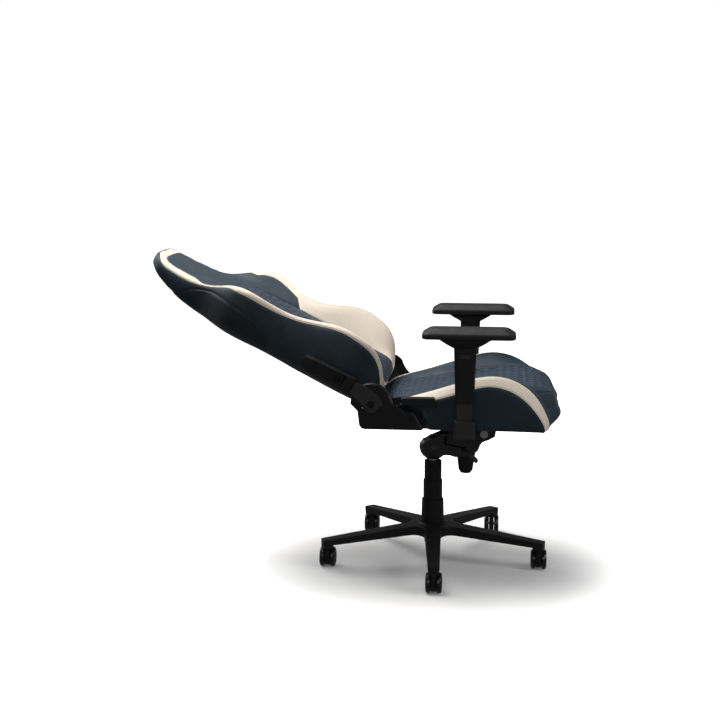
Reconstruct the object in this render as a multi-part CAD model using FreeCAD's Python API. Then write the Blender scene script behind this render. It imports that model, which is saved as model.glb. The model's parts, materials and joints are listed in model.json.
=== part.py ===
"""Reclining gaming chair on a five-star caster base, as an assembly of separate solids.

Millimetres. +X is the way the sitter faces, +Y is the sitter's left, +Z is up.
The origin is on the floor, under the axis of the gas lift.
Right-hand pieces are on the -Y side, where the recline lever is.
"""

import FreeCAD
import Part
import os
from math import cos, pi, radians, sin, sqrt, tan

V = FreeCAD.Vector
X_AXIS, Y_AXIS, Z_AXIS = V(1, 0, 0), V(0, 1, 0), V(0, 0, 1)
RIGHT, LEFT = -1, 1
SIDES = {"right": RIGHT, "left": LEFT}

# ---------------------------------------------------------------- fits
RUN = 0.05           # radial clearance of a shaft turning in its bore
SLIDE = 0.4          # clearance a side of a piece that slides in a guide
GAP = 0.5            # clearance between moving faces and under covers

# ---------------------------------------------------------------- casters and star base
LEGS = 5
base_turn = 3.6              # degrees that the star base stands turned against the seat
caster_circle_r = 336.0      # radius of the circle of caster stems
wheel_r = 30.0
wheel_width = 15.0
wheel_gap = 17.0             # between the two wheels of a caster
wheel_shoulder = 6.0
trail = 16.0                 # how far the wheel axle is behind the stem
axle_r = 3.5
stem_r = 5.5
stem_top_play = 1.0
caster_web = 15.0            # width of the housing between the wheels
caster_boss_r = 12.0
collar_gap = 0.25            # between the wheels and the collar over them
socket_depth = 23.0
socket_size = 31.0           # the block at a leg's end that holds the stem
socket_floor_z = 2 * wheel_r + 2.0
leg_tip_z = socket_floor_z + 26.0      # top of a leg at its tip
leg_tip_r = caster_circle_r + 15.0
leg_tip_width = 33.0
leg_root_width = 48.0
leg_tip_depth = 15.0
hub_top_z = leg_tip_z + 34.0
hub_depth = 34.0
hub_wall = 16.0
hub_fillet_reach = 27.0      # from the hub's side to where the legs part from each other
base_wall = 4.0

# ---------------------------------------------------------------- gas lift
stand_tube_r = 25.0
hub_r = stand_tube_r + hub_wall
hub_fillet_r = hub_r + hub_fillet_reach
stand_tube_wall = 2.0
stand_tube_bottom_z = 56.0
stand_tube_top_z = 246.0
cylinder_r = 14.0
cylinder_wall = 1.6
cylinder_bottom_z = 158.0
piston_rod_r = 5.0
piston_height = 14.0
taper_bottom_z = 321.0
taper_length = 58.0
taper_top_r = cylinder_r - 1.1
valve_pin_r = 3.0
valve_pin_rise = 7.0
lift_down, lift_up = 70.0, 20.0
bearing_height = 6.0

# telescopic cover: each stage is (outer radius, wall, top z at rest, bottom z at rest)
stage_upper = (stand_tube_r + 1.6, 1.2, 313.0, 232.0)
stage_middle = (stand_tube_r + 4.4, 1.4, 253.0, 170.0)
stage_lower = (stand_tube_r + 8.4, 1.8, 192.0, hub_top_z)
stage_flare = 1.6            # how much wider the lower stage is at its foot

# ---------------------------------------------------------------- tilt mechanism
tilt_x, tilt_z = 156.0, 418.0        # axis of the tilt pivot
tilt_shaft_r = 8.0
dome_r = 43.0
housing_half_width = 40.0
housing_wall = 4.0
mech_half_width = 84.0               # inner face of the seat plate's flanges
flange = 5.0
seat_bottom_z = 462.0
plate_thickness = 5.0
plate_rear_x, plate_front_x = -8.0, 192.0
spring_x = 100.0
spring_r, spring_wire_r, spring_turns = 17.0, 3.2, 5
spring_cup_r = 25.0
spring_foot_z = 348.0
knob_top_z, knob_height, knob_r = 329.0, 51.0, 27.0
knob_screw_r = 6.0
lever_x, lever_z = 40.0, 392.0       # axis of the two hand levers
lever_rod_r = 4.0
lever_reach_y = 238.0
paddle_length, paddle_width, paddle_thickness = 62.0, 40.0, 9.0
paddle_droop = 38.0                  # degrees that the paddle hangs below level
mount_bolt_x = (10.0, 172.0)
mount_bolt_y = 70.0
bolt_r = 4.0
bolt_hole_r = 4.5
bolt_head_r, bolt_head_h = 6.5, 5.5

# ---------------------------------------------------------------- seat
seat_half_width = 262.0
frame_front_x, frame_rear_x = 286.0, -150.0
frame_half_width = 214.0
rail_width, rail_height, rail_wall = 26.0, 20.0, 2.0
belt_count, belt_width, belt_thickness = 5, 46.0, 2.0
dust_cover_thickness = 1.0
pocket_margin = 0.5          # between the seat frame and the cushion around it

# ---------------------------------------------------------------- recliner
pivot_x, pivot_z = -164.0, 541.0     # axis on which the backrest reclines
back_angle = 153.0                   # between seat and backrest, as stored
recliner_inner_y = 246.0
recliner_plate = 5.0
disc_r, disc_height = 32.0, 8.0
pin_r, pin_head_r, pin_head_h = 6.0, 10.0, 3.5
side_cover_y = 280.0
side_cover_wall = 4.0
side_bevel = 4.0
hub_hole_r = 29.0
arm_boss_r = 27.0
arm_plate = 5.0
arm_hub_y = 282.0                    # inner face of the backrest arm at its hub
arm_upper_y = 260.0                  # inner face of the arm along the backrest
arm_step_u = (71.0, 94.0)            # where the arm steps inwards
arm_end_u = 226.0
arm_cover_u = (68.0, 236.0)
arm_cover_y = 291.0
arm_cover_wall = 2.5
arm_bolt_u = (120.0, 205.0)
arm_v = 19.0                         # centre line of the arm, in front of the pivot
lever_plate = 4.0
grip_rear_x, grip_front_x = -74.0, 26.0
grip_bottom_z, grip_top_z = 539.0, 563.0
grip_inner_y, grip_outer_y = 266.0, 291.0
grip_scallops = 5

# what the recliners, their covers and the lever take from the seat cushion's rear corners
room_gap = 2.0
room_depth = 50.0
room_outer_y = side_cover_y + 20.0
room_rear_x = pivot_x - 66.0
room_bottom_z, room_top_z = 400.0, 640.0
room_ahead, room_drop = 72.0, 41.0       # from the pivot, above the cover
room_under_x, room_under_z = -18.0, 472.0
lever_room_x = (-110.0, -8.0)
lever_room_y, lever_room_z = 257.5, 505.0
plate_room_x = (-142.0, -58.0)
plate_room_z = 480.5

# ---------------------------------------------------------------- backrest
frame_tube_r = 9.0
frame_tube_v = -16.0
back_frame_half_width = 165.0
back_frame_top_u = 545.0
back_frame_bottom_u = 14.0
slot_play = 0.4                      # between the frame and the slot in the cushion
back_belts_u = (90.0, 170.0, 250.0, 330.0, 410.0)
back_belt_width = 44.0

# ---------------------------------------------------------------- armrests
post_x, post_y = 102.0, 289.0
upright_x, upright_y, upright_top_z = 22.0, 13.0, 628.0   # half sizes and top of the steel upright
upright_wall = 2.5
collar_x, collar_y = upright_x + 7.5, upright_y + 10.5
collar_bottom_z, collar_top_z = 450.0, 500.0
bracket_thickness = 6.0
bracket_inner_y = 130.0
sleeve_bottom_z, sleeve_neck_z, sleeve_top_z = 552.0, 708.0, 722.5
sleeve_foot = (upright_x + 4.5, upright_y + 5.0)      # half sizes in x and y
sleeve_neck = (upright_x + 9.5, upright_y + 7.0)
sleeve_head = (55.0, 30.0)
height_down, height_up = 44.0, 34.0
button_z, button_width, button_height, button_proud = 686.0, 30.0, 12.0, 4.5
slide_plate_foot, slide_plate_head = (56.0, 30.0), (64.0, 30.5)
turntable_foot, turntable_head = (65.0, 31.0), (73.0, 31.5)
carrier_thickness = 5.0
carrier_gap = 0.6
guide_width, guide_depth = 8.0, 3.0
guide_spacing = 40.0
turn_pin_r = 9.0
pad_rear_x, pad_front_x = -20.0, 243.0
pad_half_width, pad_thickness = 50.0, 30.0
pad_y = 275.0
pad_corner_r = 20.0
pad_edge = 5.0               # height of the rounded lower edge
pad_runner = 52.0            # half length of the runner in the groove below
pad_bevel_x, pad_bevel_y, pad_bevel_z = 22.0, 20.0, 15.0


# ================================================================ shape helpers
def box(x0, x1, y0, y1, z0, z1):
    """A box between two corners, in any order along each axis."""
    lo = V(min(x0, x1), min(y0, y1), min(z0, z1))
    return Part.makeBox(abs(x1 - x0), abs(y1 - y0), abs(z1 - z0), lo)


def rod(start, end, radius):
    """A cylinder from one point to another."""
    along = end - start
    return Part.makeCylinder(radius, along.Length, start, along)


def upright_rod(x, y, z0, z1, radius):
    return rod(V(x, y, z0), V(x, y, z1), radius)


def ring(x, y, z0, z1, outer, inner):
    """A tube that stands on z0."""
    bore = upright_rod(x, y, z0 - 1, z1 + 1, inner)
    return upright_rod(x, y, z0, z1, outer).cut(bore)


def cross_rod(x, z, y0, y1, radius):
    """A cylinder along Y."""
    return rod(V(x, min(y0, y1), z), V(x, max(y0, y1), z), radius)


def polygon(points):
    return Part.makePolygon(points + points[:1])


def prism_xz(points, y0, y1):
    """An outline of (x, z) points, extruded along Y."""
    face = Part.Face(polygon([V(x, min(y0, y1), z) for x, z in points]))
    return face.extrude(V(0, abs(y1 - y0), 0))


def prism_xy(points, z0, z1):
    """An outline of (x, y) points, extruded along Z."""
    face = Part.Face(polygon([V(x, y, z0) for x, y in points]))
    return face.extrude(V(0, 0, z1 - z0))


def turned(profile, x=0.0, y=0.0):
    """An outline of (radius, z) points, turned about a vertical axis."""
    face = Part.Face(polygon([V(x + r, y, z) for r, z in profile]))
    return face.revolve(V(x, y, 0), Z_AXIS, 360)


def fused(shapes):
    whole = shapes[0]
    if len(shapes) > 1:
        whole = shapes[0].multiFuse(shapes[1:])
    return whole.removeSplitter()


def rounded_rectangle(x0, x1, y0, y1, z, radius):
    """A closed wire at height z, with its four corners rounded."""
    plan = box(x0, x1, y0, y1, z, z + 1)
    corners = [e for e in plan.Edges if abs(e.tangentAt(e.FirstParameter).z) > 0.9]
    rounded = plan.makeFillet(radius, corners)
    bottom = min(rounded.Faces, key=lambda f: f.CenterOfMass.z)
    return bottom.OuterWire


def splined(points):
    """A smooth open curve through the points."""
    curve = Part.BSplineCurve()
    curve.interpolate(points)
    return curve.toShape()


def closed_splined(points):
    """A smooth closed curve through the points."""
    curve = Part.BSplineCurve()
    curve.interpolate(Points=points, PeriodicFlag=True)
    return Part.Wire([curve.toShape()])


def mirrored(shape):
    return shape.mirror(V(0, 0, 0), Y_AXIS)


def on_side(right_shape, side):
    """A shape drawn on the right-hand side, put on the side that is asked for."""
    return right_shape if side == RIGHT else mirrored(right_shape)


def save(node, *solids):
    shape = solids[0] if len(solids) == 1 else Part.makeCompound(list(solids))
    shape.exportStep(f"parts/{node}.step")


# ================================================================ star base and casters
def leg_angle(leg):
    """Degrees round from +X; the first leg points to the right-hand side."""
    return -90.0 + base_turn + leg * 360.0 / LEGS


def leg_point(leg, radius, z=0.0):
    a = radians(leg_angle(leg))
    return V(radius * cos(a), radius * sin(a), z)


def star_outline(inset, reach):
    """The plan of hub and legs, drawn in by inset on every side."""
    half_root, half_tip = leg_root_width / 2 - inset, leg_tip_width / 2 - inset
    parting_r = hub_fillet_r - inset
    edges, last = [], None
    for leg in range(LEGS):
        a = radians(leg_angle(leg))
        out, across = V(cos(a), sin(a), 0), V(-sin(a), cos(a), 0)
        root = hub_fillet_r + leg_root_width / 2
        right_root, right_tip = out * root - across * half_root, out * reach - across * half_tip
        left_tip, left_root = out * reach + across * half_tip, out * root + across * half_root
        if last is not None:
            between_legs = a - pi / LEGS
            middle = V(cos(between_legs), sin(between_legs), 0) * parting_r
            edges.append(Part.Arc(last, middle, right_root).toShape())
        else:
            first_root = right_root
        edges += [
            Part.LineSegment(right_root, right_tip).toShape(),
            Part.LineSegment(right_tip, left_tip).toShape(),
            Part.LineSegment(left_tip, left_root).toShape(),
        ]
        last = left_root
    closing = radians(leg_angle(0)) - pi / LEGS
    middle = V(cos(closing), sin(closing), 0) * parting_r
    edges.append(Part.Arc(last, middle, first_root).toShape())
    return Part.Wire(edges)


def star_body(inset, reach, drop):
    """The star between its conical top and underside, with the top lowered by drop."""
    plan = Part.Face(star_outline(inset, reach)).extrude(V(0, 0, 200))
    shoulder_r = hub_r + 6
    lift = 2 * drop              # the underside of the inner form goes past the outer one
    half = [
        (0, hub_top_z - drop),
        (hub_r, hub_top_z - drop),
        (shoulder_r, hub_top_z - 4 - drop),
        (reach + 5, leg_tip_z - drop),
        (reach + 5, leg_tip_z - leg_tip_depth - lift),
        (caster_circle_r - socket_size / 2, leg_tip_z - leg_tip_depth - lift),
        (hub_fillet_r, hub_top_z - hub_depth - lift),
        (0, hub_top_z - hub_depth - lift),
    ]
    return plan.common(turned(half))


def star_base():
    outer = star_body(0.0, leg_tip_r, 0.0)
    pocket = star_body(base_wall, caster_circle_r - socket_size / 2, base_wall)
    hub = upright_rod(0, 0, hub_top_z - hub_depth - 6, hub_top_z - 1, hub_r)
    body = fused([outer.cut(pocket), hub])
    blocks = []
    for leg in range(LEGS):
        block = box(-socket_size / 2, leg_tip_r - caster_circle_r, -socket_size / 2, socket_size / 2,
                    socket_floor_z, leg_tip_z - 5)
        block.translate(V(caster_circle_r, 0, 0))
        block.rotate(V(0, 0, 0), Z_AXIS, leg_angle(leg))
        blocks.append(block)
    body = fused([body] + blocks)
    bores = [upright_rod(0, 0, 0, 200, stand_tube_r)]
    for leg in range(LEGS):
        p = leg_point(leg, caster_circle_r)
        bores.append(upright_rod(p.x, p.y, socket_floor_z - 5, socket_floor_z + socket_depth, stem_r + RUN))
    for bore in bores:
        body = body.cut(bore)
    return body


def caster(leg):
    """Housing with its pressed stem, and the two wheels on their live axle."""
    stem = leg_point(leg, caster_circle_r)
    axle_y, axle_z = stem.y + trail, wheel_r
    disc = rod(V(stem.x - caster_web / 2, axle_y, axle_z), V(stem.x + caster_web / 2, axle_y, axle_z),
               wheel_r - 4)
    top_z = socket_floor_z - 0.8
    neck = box(stem.x - caster_web / 2, stem.x + caster_web / 2, stem.y - caster_boss_r + 2,
               axle_y, axle_z, wheel_r + sqrt((wheel_r - 4) ** 2 - trail ** 2))
    boss = upright_rod(stem.x, stem.y, axle_z + 6, top_z, caster_boss_r)
    slab = box(stem.x - caster_web / 2, stem.x + caster_web / 2, stem.y - 20, axle_y + 40, 0, 80)
    boss = boss.common(slab)
    over_wheels_z = axle_z + sqrt(wheel_r**2 - caster_boss_r**2) + collar_gap
    collar = upright_rod(stem.x, stem.y, over_wheels_z, top_z, caster_boss_r)
    housing = fused([disc, neck, boss, collar])
    ends = wheel_gap / 2 + wheel_width - 5
    housing = housing.cut(rod(V(stem.x - 30, axle_y, axle_z), V(stem.x + 30, axle_y, axle_z), axle_r + RUN))
    pin = upright_rod(stem.x, stem.y, axle_z + 12, socket_floor_z + socket_depth - stem_top_play, stem_r)
    housing = housing.cut(upright_rod(stem.x, stem.y, axle_z + 12, 80, stem_r))
    wheels = []
    for side in (-1, 1):
        inner = wheel_gap / 2
        outer = wheel_gap / 2 + wheel_width
        s = wheel_shoulder
        profile = [(axle_r, inner), (wheel_r - 5, inner), (wheel_r, inner + 2.5), (wheel_r, outer - s),
                   (wheel_r - 0.3 * s, outer - 0.3 * s), (wheel_r - s, outer), (wheel_r - 9, outer),
                   (wheel_r - 10, outer - 2), (wheel_r - 20, outer - 2), (wheel_r - 21, outer - 3),
                   (axle_r, outer - 3)]
        face = Part.Face(polygon([V(stem.x + side * w, axle_y, axle_z + r) for r, w in profile]))
        wheels.append(face.revolve(V(stem.x, axle_y, axle_z), X_AXIS, 360))
    axle = rod(V(stem.x - ends, axle_y, axle_z), V(stem.x + ends, axle_y, axle_z), axle_r)
    return (housing, pin), (*wheels, axle)


# ================================================================ gas lift and its cover
def stage(outer_r, wall, top_z, bottom_z, flare=0.0):
    """One telescopic tube, a little wider at its foot."""
    return turned([(outer_r - wall, top_z), (outer_r, top_z), (outer_r + flare, bottom_z),
                   (outer_r + flare - wall, bottom_z)])


def stand_tube():
    r, w = stand_tube_r, stand_tube_wall
    tube = ring(0, 0, stand_tube_bottom_z, stand_tube_top_z, r, r - w)
    floor = ring(0, 0, stand_tube_bottom_z, stand_tube_bottom_z + 3, r, piston_rod_r + 1)
    return fused([tube, floor])


def guide_bush():
    inner = cylinder_r + RUN
    outer = stand_tube_r - stand_tube_wall
    sleeve = ring(0, 0, stand_tube_top_z - 58, stand_tube_top_z, outer, inner)
    rim = ring(0, 0, stand_tube_top_z, stand_tube_top_z + 2.5, stand_tube_r, inner)
    return fused([sleeve, rim])


def piston_rod():
    foot_z = stand_tube_bottom_z - 6
    piston_z = cylinder_bottom_z + 6 + lift_up + GAP
    shaft = upright_rod(0, 0, foot_z, piston_z + piston_height, piston_rod_r)
    piston = upright_rod(0, 0, piston_z, piston_z + piston_height, cylinder_r - cylinder_wall - RUN)
    clip = upright_rod(0, 0, foot_z, foot_z + 4, piston_rod_r + 4)
    step_z = stand_tube_bottom_z + 3 + bearing_height + 0.2
    shoulder = upright_rod(0, 0, step_z, step_z + 5, piston_rod_r + 5)
    return fused([shaft, piston, clip, shoulder])


def thrust_bearing():
    z = stand_tube_bottom_z + 3.1
    return ring(0, 0, z, z + bearing_height, piston_rod_r + 11, piston_rod_r)


def gas_cylinder():
    r, cavity_r = cylinder_r, cylinder_r - cylinder_wall
    cavity_top = taper_bottom_z - 30
    top_z = taper_bottom_z + taper_length
    body = turned([(0, cylinder_bottom_z), (r, cylinder_bottom_z), (r, taper_bottom_z),
                   (taper_top_r, top_z), (0, top_z)])
    cavity = upright_rod(0, 0, cylinder_bottom_z + 6, cavity_top, cavity_r)
    rod_hole = upright_rod(0, 0, cylinder_bottom_z - 1, cylinder_bottom_z + 8, piston_rod_r + RUN)
    pin_hole = upright_rod(0, 0, cavity_top + 8, top_z + 1, valve_pin_r + RUN)
    return body.cut(cavity).cut(rod_hole).cut(pin_hole)


def valve_pin():
    top_z = taper_bottom_z + taper_length
    pin = upright_rod(0, 0, top_z - 25, top_z + valve_pin_rise, valve_pin_r)
    return pin


# ================================================================ tilt mechanism
def housing_shape():
    """The cast housing: a cup on the gas lift's taper, carried forward to the tilt pivot."""
    dome = turned([(0, taper_bottom_z), (22, taper_bottom_z), (31, taper_bottom_z + 7), (39, 340),
                   (dome_r, 355), (dome_r - 2, 368), (32, 380), (0, 384)])
    side = [(-30, 372), (-14, 384), (24, 400), (70, 412), (tilt_x - 16, 424), (tilt_x + 2, 424),
            (tilt_x + 14, 410), (tilt_x - 12, 372), (138, 356), (126, 344), (70, 333), (54, 338),
            (34, 338)]
    arm = prism_xz(side, -housing_half_width, housing_half_width)
    boss = cross_rod(tilt_x, tilt_z, -(mech_half_width - GAP), mech_half_width - GAP, tilt_shaft_r + 9)
    cup = upright_rod(spring_x, 0, knob_top_z + 2, 390, spring_cup_r + 3.5)
    body = fused([dome, arm, boss, cup])
    inner = [(-8, 420), (-8, 388), (24, 375), (60, 352), (118, 352), (132, 372), (tilt_x - 22, 396),
             (tilt_x - 22, 440)]
    pocket_half = housing_half_width - housing_wall
    pocket = prism_xz(inner, -pocket_half, pocket_half)
    taper_cup = upright_rod(0, 0, taper_bottom_z, 380, 24)
    spring_guide = ring(spring_x, 0, spring_foot_z, 374, spring_cup_r, spring_cup_r - 3)
    pocket = pocket.cut(taper_cup).cut(spring_guide)
    body = body.cut(pocket)
    top_z = taper_bottom_z + taper_length
    taper = Part.makeCone(cylinder_r, taper_top_r, taper_length, V(0, 0, taper_bottom_z))
    above = upright_rod(0, 0, top_z, 420, taper_top_r)
    spring_bore = upright_rod(spring_x, 0, spring_foot_z, 420, spring_cup_r - 4)
    screw_bore = upright_rod(spring_x, 0, 300, 420, knob_screw_r + RUN)
    shaft_bore = cross_rod(tilt_x, tilt_z, -200, 200, tilt_shaft_r)
    lever_bore = cross_rod(lever_x, lever_z, -200, 200, lever_rod_r + RUN)
    for hole in (taper, above, spring_bore, screw_bore, shaft_bore, lever_bore):
        body = body.cut(hole)
    return body


def tilt_housing():
    """The housing, with room left for the levers' fingers to swing."""
    body = housing_shape()
    room = box(-16, lever_x + 14, -16, 16, taper_bottom_z + taper_length, 430)
    return body.cut(room)


def tension_spring():
    """A coil between the housing's cup and the underside of the seat plate."""
    low = spring_foot_z + spring_wire_r + 0.1
    high = seat_bottom_z - plate_thickness - spring_wire_r - 0.3
    pitch = (high - low) / spring_turns
    path = Part.makeHelix(pitch, high - low, spring_r)
    circle = Part.Wire([Part.makeCircle(spring_wire_r, V(spring_r, 0, 0), Y_AXIS)])
    coil = Part.Wire(path).makePipeShell([circle], True, True)
    coil.translate(V(spring_x, 0, low))
    return coil


def tension_knob():
    """The hand knob, with ribs round it, and its screw up through the spring."""
    bottom_z = knob_top_z - knob_height
    body = turned([(0, knob_top_z), (knob_r, knob_top_z), (knob_r - 5, bottom_z + 10),
                   (knob_r - 11, bottom_z), (0, bottom_z)], spring_x)
    grooves = []
    for k in range(12):
        a = radians(30 * k)
        c = V(spring_x + (knob_r + 1.5) * cos(a), (knob_r + 1.5) * sin(a), bottom_z + 8)
        grooves.append(rod(c, c + V(0, 0, knob_height), 4))
    for groove in grooves:
        body = body.cut(groove)
    screw = upright_rod(spring_x, 0, knob_top_z - 4, spring_foot_z + 46, knob_screw_r)
    return fused([body, screw])


def hand_lever(side, with_finger):
    """A bent rod from the housing out to a flat paddle. The right-hand one presses the gas valve."""
    y_in, y_turn = 6.0, 128.0
    paddle_y = lever_reach_y - paddle_width
    knee = V(lever_x + 62, -(paddle_y - 18), lever_z + 2)
    bend = V(lever_x, -y_turn, lever_z)
    end = knee + V(0, -24, 0)
    pieces = [
        rod(V(lever_x, -y_in, lever_z), bend, lever_rod_r),
        Part.makeSphere(lever_rod_r, bend),
        rod(bend, knee, lever_rod_r),
        Part.makeSphere(lever_rod_r, knee),
        rod(knee, end, lever_rod_r),
    ]
    t = paddle_thickness / 2
    paddle = box(-14, paddle_length - 14, -lever_reach_y, -paddle_y, -t, t)
    upright = [e for e in paddle.Edges if abs(e.tangentAt(e.FirstParameter).z) > 0.9]
    paddle = paddle.makeFillet(14, upright)
    paddle = paddle.makeFillet(t * 0.8, paddle.Edges)
    paddle.rotate(V(0, 0, 0), Y_AXIS, paddle_droop)
    paddle.translate(V(knee.x, 0, knee.z))
    pieces.append(paddle)
    if with_finger:
        pieces.append(box(-6, lever_x + 3, -14, -y_in, lever_z - 3.5, lever_z + 3.5))
        pieces.append(box(-6, 6, -14, 5, lever_z - 6 + GAP, lever_z + 3.5))
    else:
        pieces.append(box(lever_x - 3, lever_x + 12, -14, -y_in, lever_z - 3, lever_z + 3))
    return on_side(fused(pieces), side)


def seat_plate():
    """A pressed plate with two flanges that carry the tilt shaft."""
    top = box(plate_rear_x, plate_front_x, -(mech_half_width + flange + 6), mech_half_width + flange + 6,
              seat_bottom_z - plate_thickness, seat_bottom_z)
    low_edge = [(22, seat_bottom_z - 1), (22, 428), (70, 416), (120, 398), (144, 390), (170, 400),
                (188, 410), (plate_front_x, 432), (plate_front_x, seat_bottom_z - 1)]
    pieces = [top]
    for side in SIDES.values():
        pieces.append(prism_xz(low_edge, side * mech_half_width, side * (mech_half_width + flange)))
    body = fused(pieces)
    body = body.cut(cross_rod(tilt_x, tilt_z, -200, 200, tilt_shaft_r + RUN))
    for x in mount_bolt_x:
        for y in (-mount_bolt_y, mount_bolt_y):
            body = body.cut(upright_rod(x, y, 400, 500, bolt_hole_r))
    return body


def tilt_shaft():
    reach = mech_half_width + flange + 1
    shaft = cross_rod(tilt_x, tilt_z, -reach, reach, tilt_shaft_r)
    heads = [cross_rod(tilt_x, tilt_z, s * reach, s * (reach + 4), tilt_shaft_r + 4) for s in (-1, 1)]
    return fused([shaft] + heads)


def hex_bolt(x, y, head_z, tip_z):
    """A bolt with its head below head_z and its shank up to tip_z."""
    head = Part.Face(polygon([
        V(x + bolt_head_r * cos(radians(60 * k)), y + bolt_head_r * sin(radians(60 * k)),
          head_z - bolt_head_h)
        for k in range(6)])).extrude(V(0, 0, bolt_head_h))
    return fused([head, upright_rod(x, y, head_z - 1, tip_z, bolt_r)])


def arm_bolt_points():
    """Where the armrest brackets are bolted to the seat frame, on the right-hand side."""
    y = -(frame_half_width - rail_width / 2)
    return [(post_x - 18, y), (post_x + 18, y)]


def seat_bolts():
    tip = seat_bottom_z + rail_height - rail_wall - 1
    bolts = [hex_bolt(x, y, seat_bottom_z - plate_thickness - 0.1, tip)
             for x in mount_bolt_x for y in (-mount_bolt_y, mount_bolt_y)]
    for side in SIDES.values():
        for x, y in arm_bolt_points():
            bolts.append(hex_bolt(x, -side * y, seat_bottom_z - bracket_thickness - 0.1, tip))
    return bolts


# ================================================================ seat
# profiles of the seat, from the rear underside over the top to the front underside, as (x, z)
seat_middle = [(-180, 466), (-180, 484), (-165, 503), (-135, 520), (-90, 533), (-20, 546), (60, 560),
               (130, 569), (200, 577), (262, 583), (312, 579), (346, 560), (367, 521), (377, 497),
               (346, 463)]
seat_crest = [(-180, 466), (-180, 484), (-165, 506), (-130, 531), (-85, 546), (-25, 562), (50, 585),
              (112, 605), (172, 616), (225, 609), (268, 588), (305, 553), (333, 505), (341, 480),
              (340, 463)]
seat_edge = [(-178, 466), (-178, 482), (-165, 500), (-130, 522), (-80, 536), (-15, 546), (48, 558),
             (108, 577), (168, 590), (218, 582), (260, 560), (298, 523), (322, 488), (328, 474),
             (329, 463)]
# share of the way across from the middle, and the profiles that are blended there
seat_sections = [
    (0.0, seat_middle, seat_middle, 0.0),
    (90.0, seat_middle, seat_middle, 0.0),
    (160.0, seat_middle, seat_crest, 0.12),
    (200.0, seat_middle, seat_crest, 0.72),
    (231.0, seat_crest, seat_crest, 0.0),
    (252.0, seat_crest, seat_edge, 0.7),
    (seat_half_width, seat_edge, seat_edge, 0.0),
]


def seat_loft():
    """The cushion's outer form, with a level underside."""
    wires = []
    for side in (-1, 1):
        rows = seat_sections[::-1] if side == -1 else seat_sections[1:]
        for y, inner, outer, share in rows:
            points = [V(a[0] + share * (b[0] - a[0]), side * y, a[1] + share * (b[1] - a[1]))
                      for a, b in zip(inner, outer)]
            points[0].z = points[-1].z = seat_bottom_z
            wires.append(Part.Wire([splined(points), Part.LineSegment(points[-1], points[0]).toShape()]))
    return Part.makeLoft(wires, True, False)


def recliner_room():
    """The space at the seat's rear corners that the recliners, their covers and the lever take."""
    inner_y = recliner_inner_y - room_gap
    rooms = []
    for side in SIDES.values():
        y0, y1 = side * inner_y, side * room_outer_y
        rooms.append(Part.Face(side_cover_outline(-room_gap, y0)).extrude(V(0, side * room_depth, 0)))
        rooms.append(box(room_rear_x, pivot_x + room_ahead, y0, y1, pivot_z - room_drop, room_top_z))
        rooms.append(box(room_rear_x, room_under_x, y0, y1, room_bottom_z, room_under_z))
        rooms.append(box(*lever_room_x, side * lever_room_y, y1, lever_room_z, room_top_z))
        rooms.append(box(*plate_room_x, side * frame_half_width, y1, room_bottom_z, plate_room_z))
    return rooms


def seat_cushion():
    m = pocket_margin
    pocket = box(frame_rear_x - m, frame_front_x + m, -(frame_half_width + m), frame_half_width + m,
                 seat_bottom_z - 10, seat_bottom_z + rail_height + belt_thickness + 0.2)
    cushion = seat_loft().cut(pocket)
    for room in recliner_room():
        cushion = cushion.cut(room)
    return max(cushion.Solids, key=lambda s: s.Volume)


def seat_frame():
    """An open-bottomed channel frame: a ring with cross members over the mechanism."""
    x0, x1, w = frame_rear_x, frame_front_x, frame_half_width
    z0, z1 = seat_bottom_z, seat_bottom_z + rail_height
    t = rail_wall
    bars = [(x0, x0 + rail_width, -w, w), (x1 - rail_width, x1, -w, w),
            (x0, x1, -w, -w + rail_width), (x0, x1, w - rail_width, w)]
    bars += [(x - rail_width / 2, x + rail_width / 2, -w, w) for x in mount_bolt_x]
    outer = fused([box(*bar, z0, z1) for bar in bars])
    inner = fused([box(a + t, b - t, c + t, d - t, z0 - 1, z1 - t) for a, b, c, d in bars])
    frame = outer.cut(inner)
    webs = []
    for x in mount_bolt_x:
        webs += [box(x - 11, x + 11, s * mount_bolt_y - 11, s * mount_bolt_y + 11, z0, z1 - t)
                 for s in (-1, 1)]
    for side in SIDES.values():
        webs += [box(x - 11, x + 11, -side * y - 11, -side * y + 11, z0, z1 - t)
                 for x, y in arm_bolt_points()]
    frame = fused([frame] + webs)
    for x in mount_bolt_x:
        for y in (-mount_bolt_y, mount_bolt_y):
            frame = frame.cut(upright_rod(x, y, z0 - 1, z1 - t - 0.5, bolt_r + 0.1))
    for side in SIDES.values():
        for x, y in arm_bolt_points():
            frame = frame.cut(upright_rod(x, -side * y, z0 - 1, z1 - t - 0.5, bolt_r + 0.1))
    return frame


def seat_belts():
    z0 = seat_bottom_z + rail_height + 0.1
    pitch = (frame_front_x - frame_rear_x - belt_width) / (belt_count - 1)
    reach = frame_half_width - 4
    return [box(frame_rear_x + k * pitch, frame_rear_x + k * pitch + belt_width, -reach, reach,
                z0, z0 + belt_thickness) for k in range(belt_count)]


def dust_cover():
    """The sheet that closes the seat's underside round the mechanism and the arm brackets."""
    z1 = seat_bottom_z - 0.1
    sheet = box(-172, 322, -(recliner_inner_y - 4), recliner_inner_y - 4, z1 - dust_cover_thickness, z1)
    hole_y = mech_half_width + flange + 9
    hole = box(plate_rear_x - 3, plate_front_x + 3, -hole_y, hole_y,
               z1 - 5, z1 + 5)
    sheet = sheet.cut(hole)
    for side in SIDES.values():
        slot = box(post_x - 34, post_x + 34, side * (bracket_inner_y - 3), side * 300, z1 - 5, z1 + 5)
        sheet = sheet.cut(slot)
    return sheet.Solids


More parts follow.
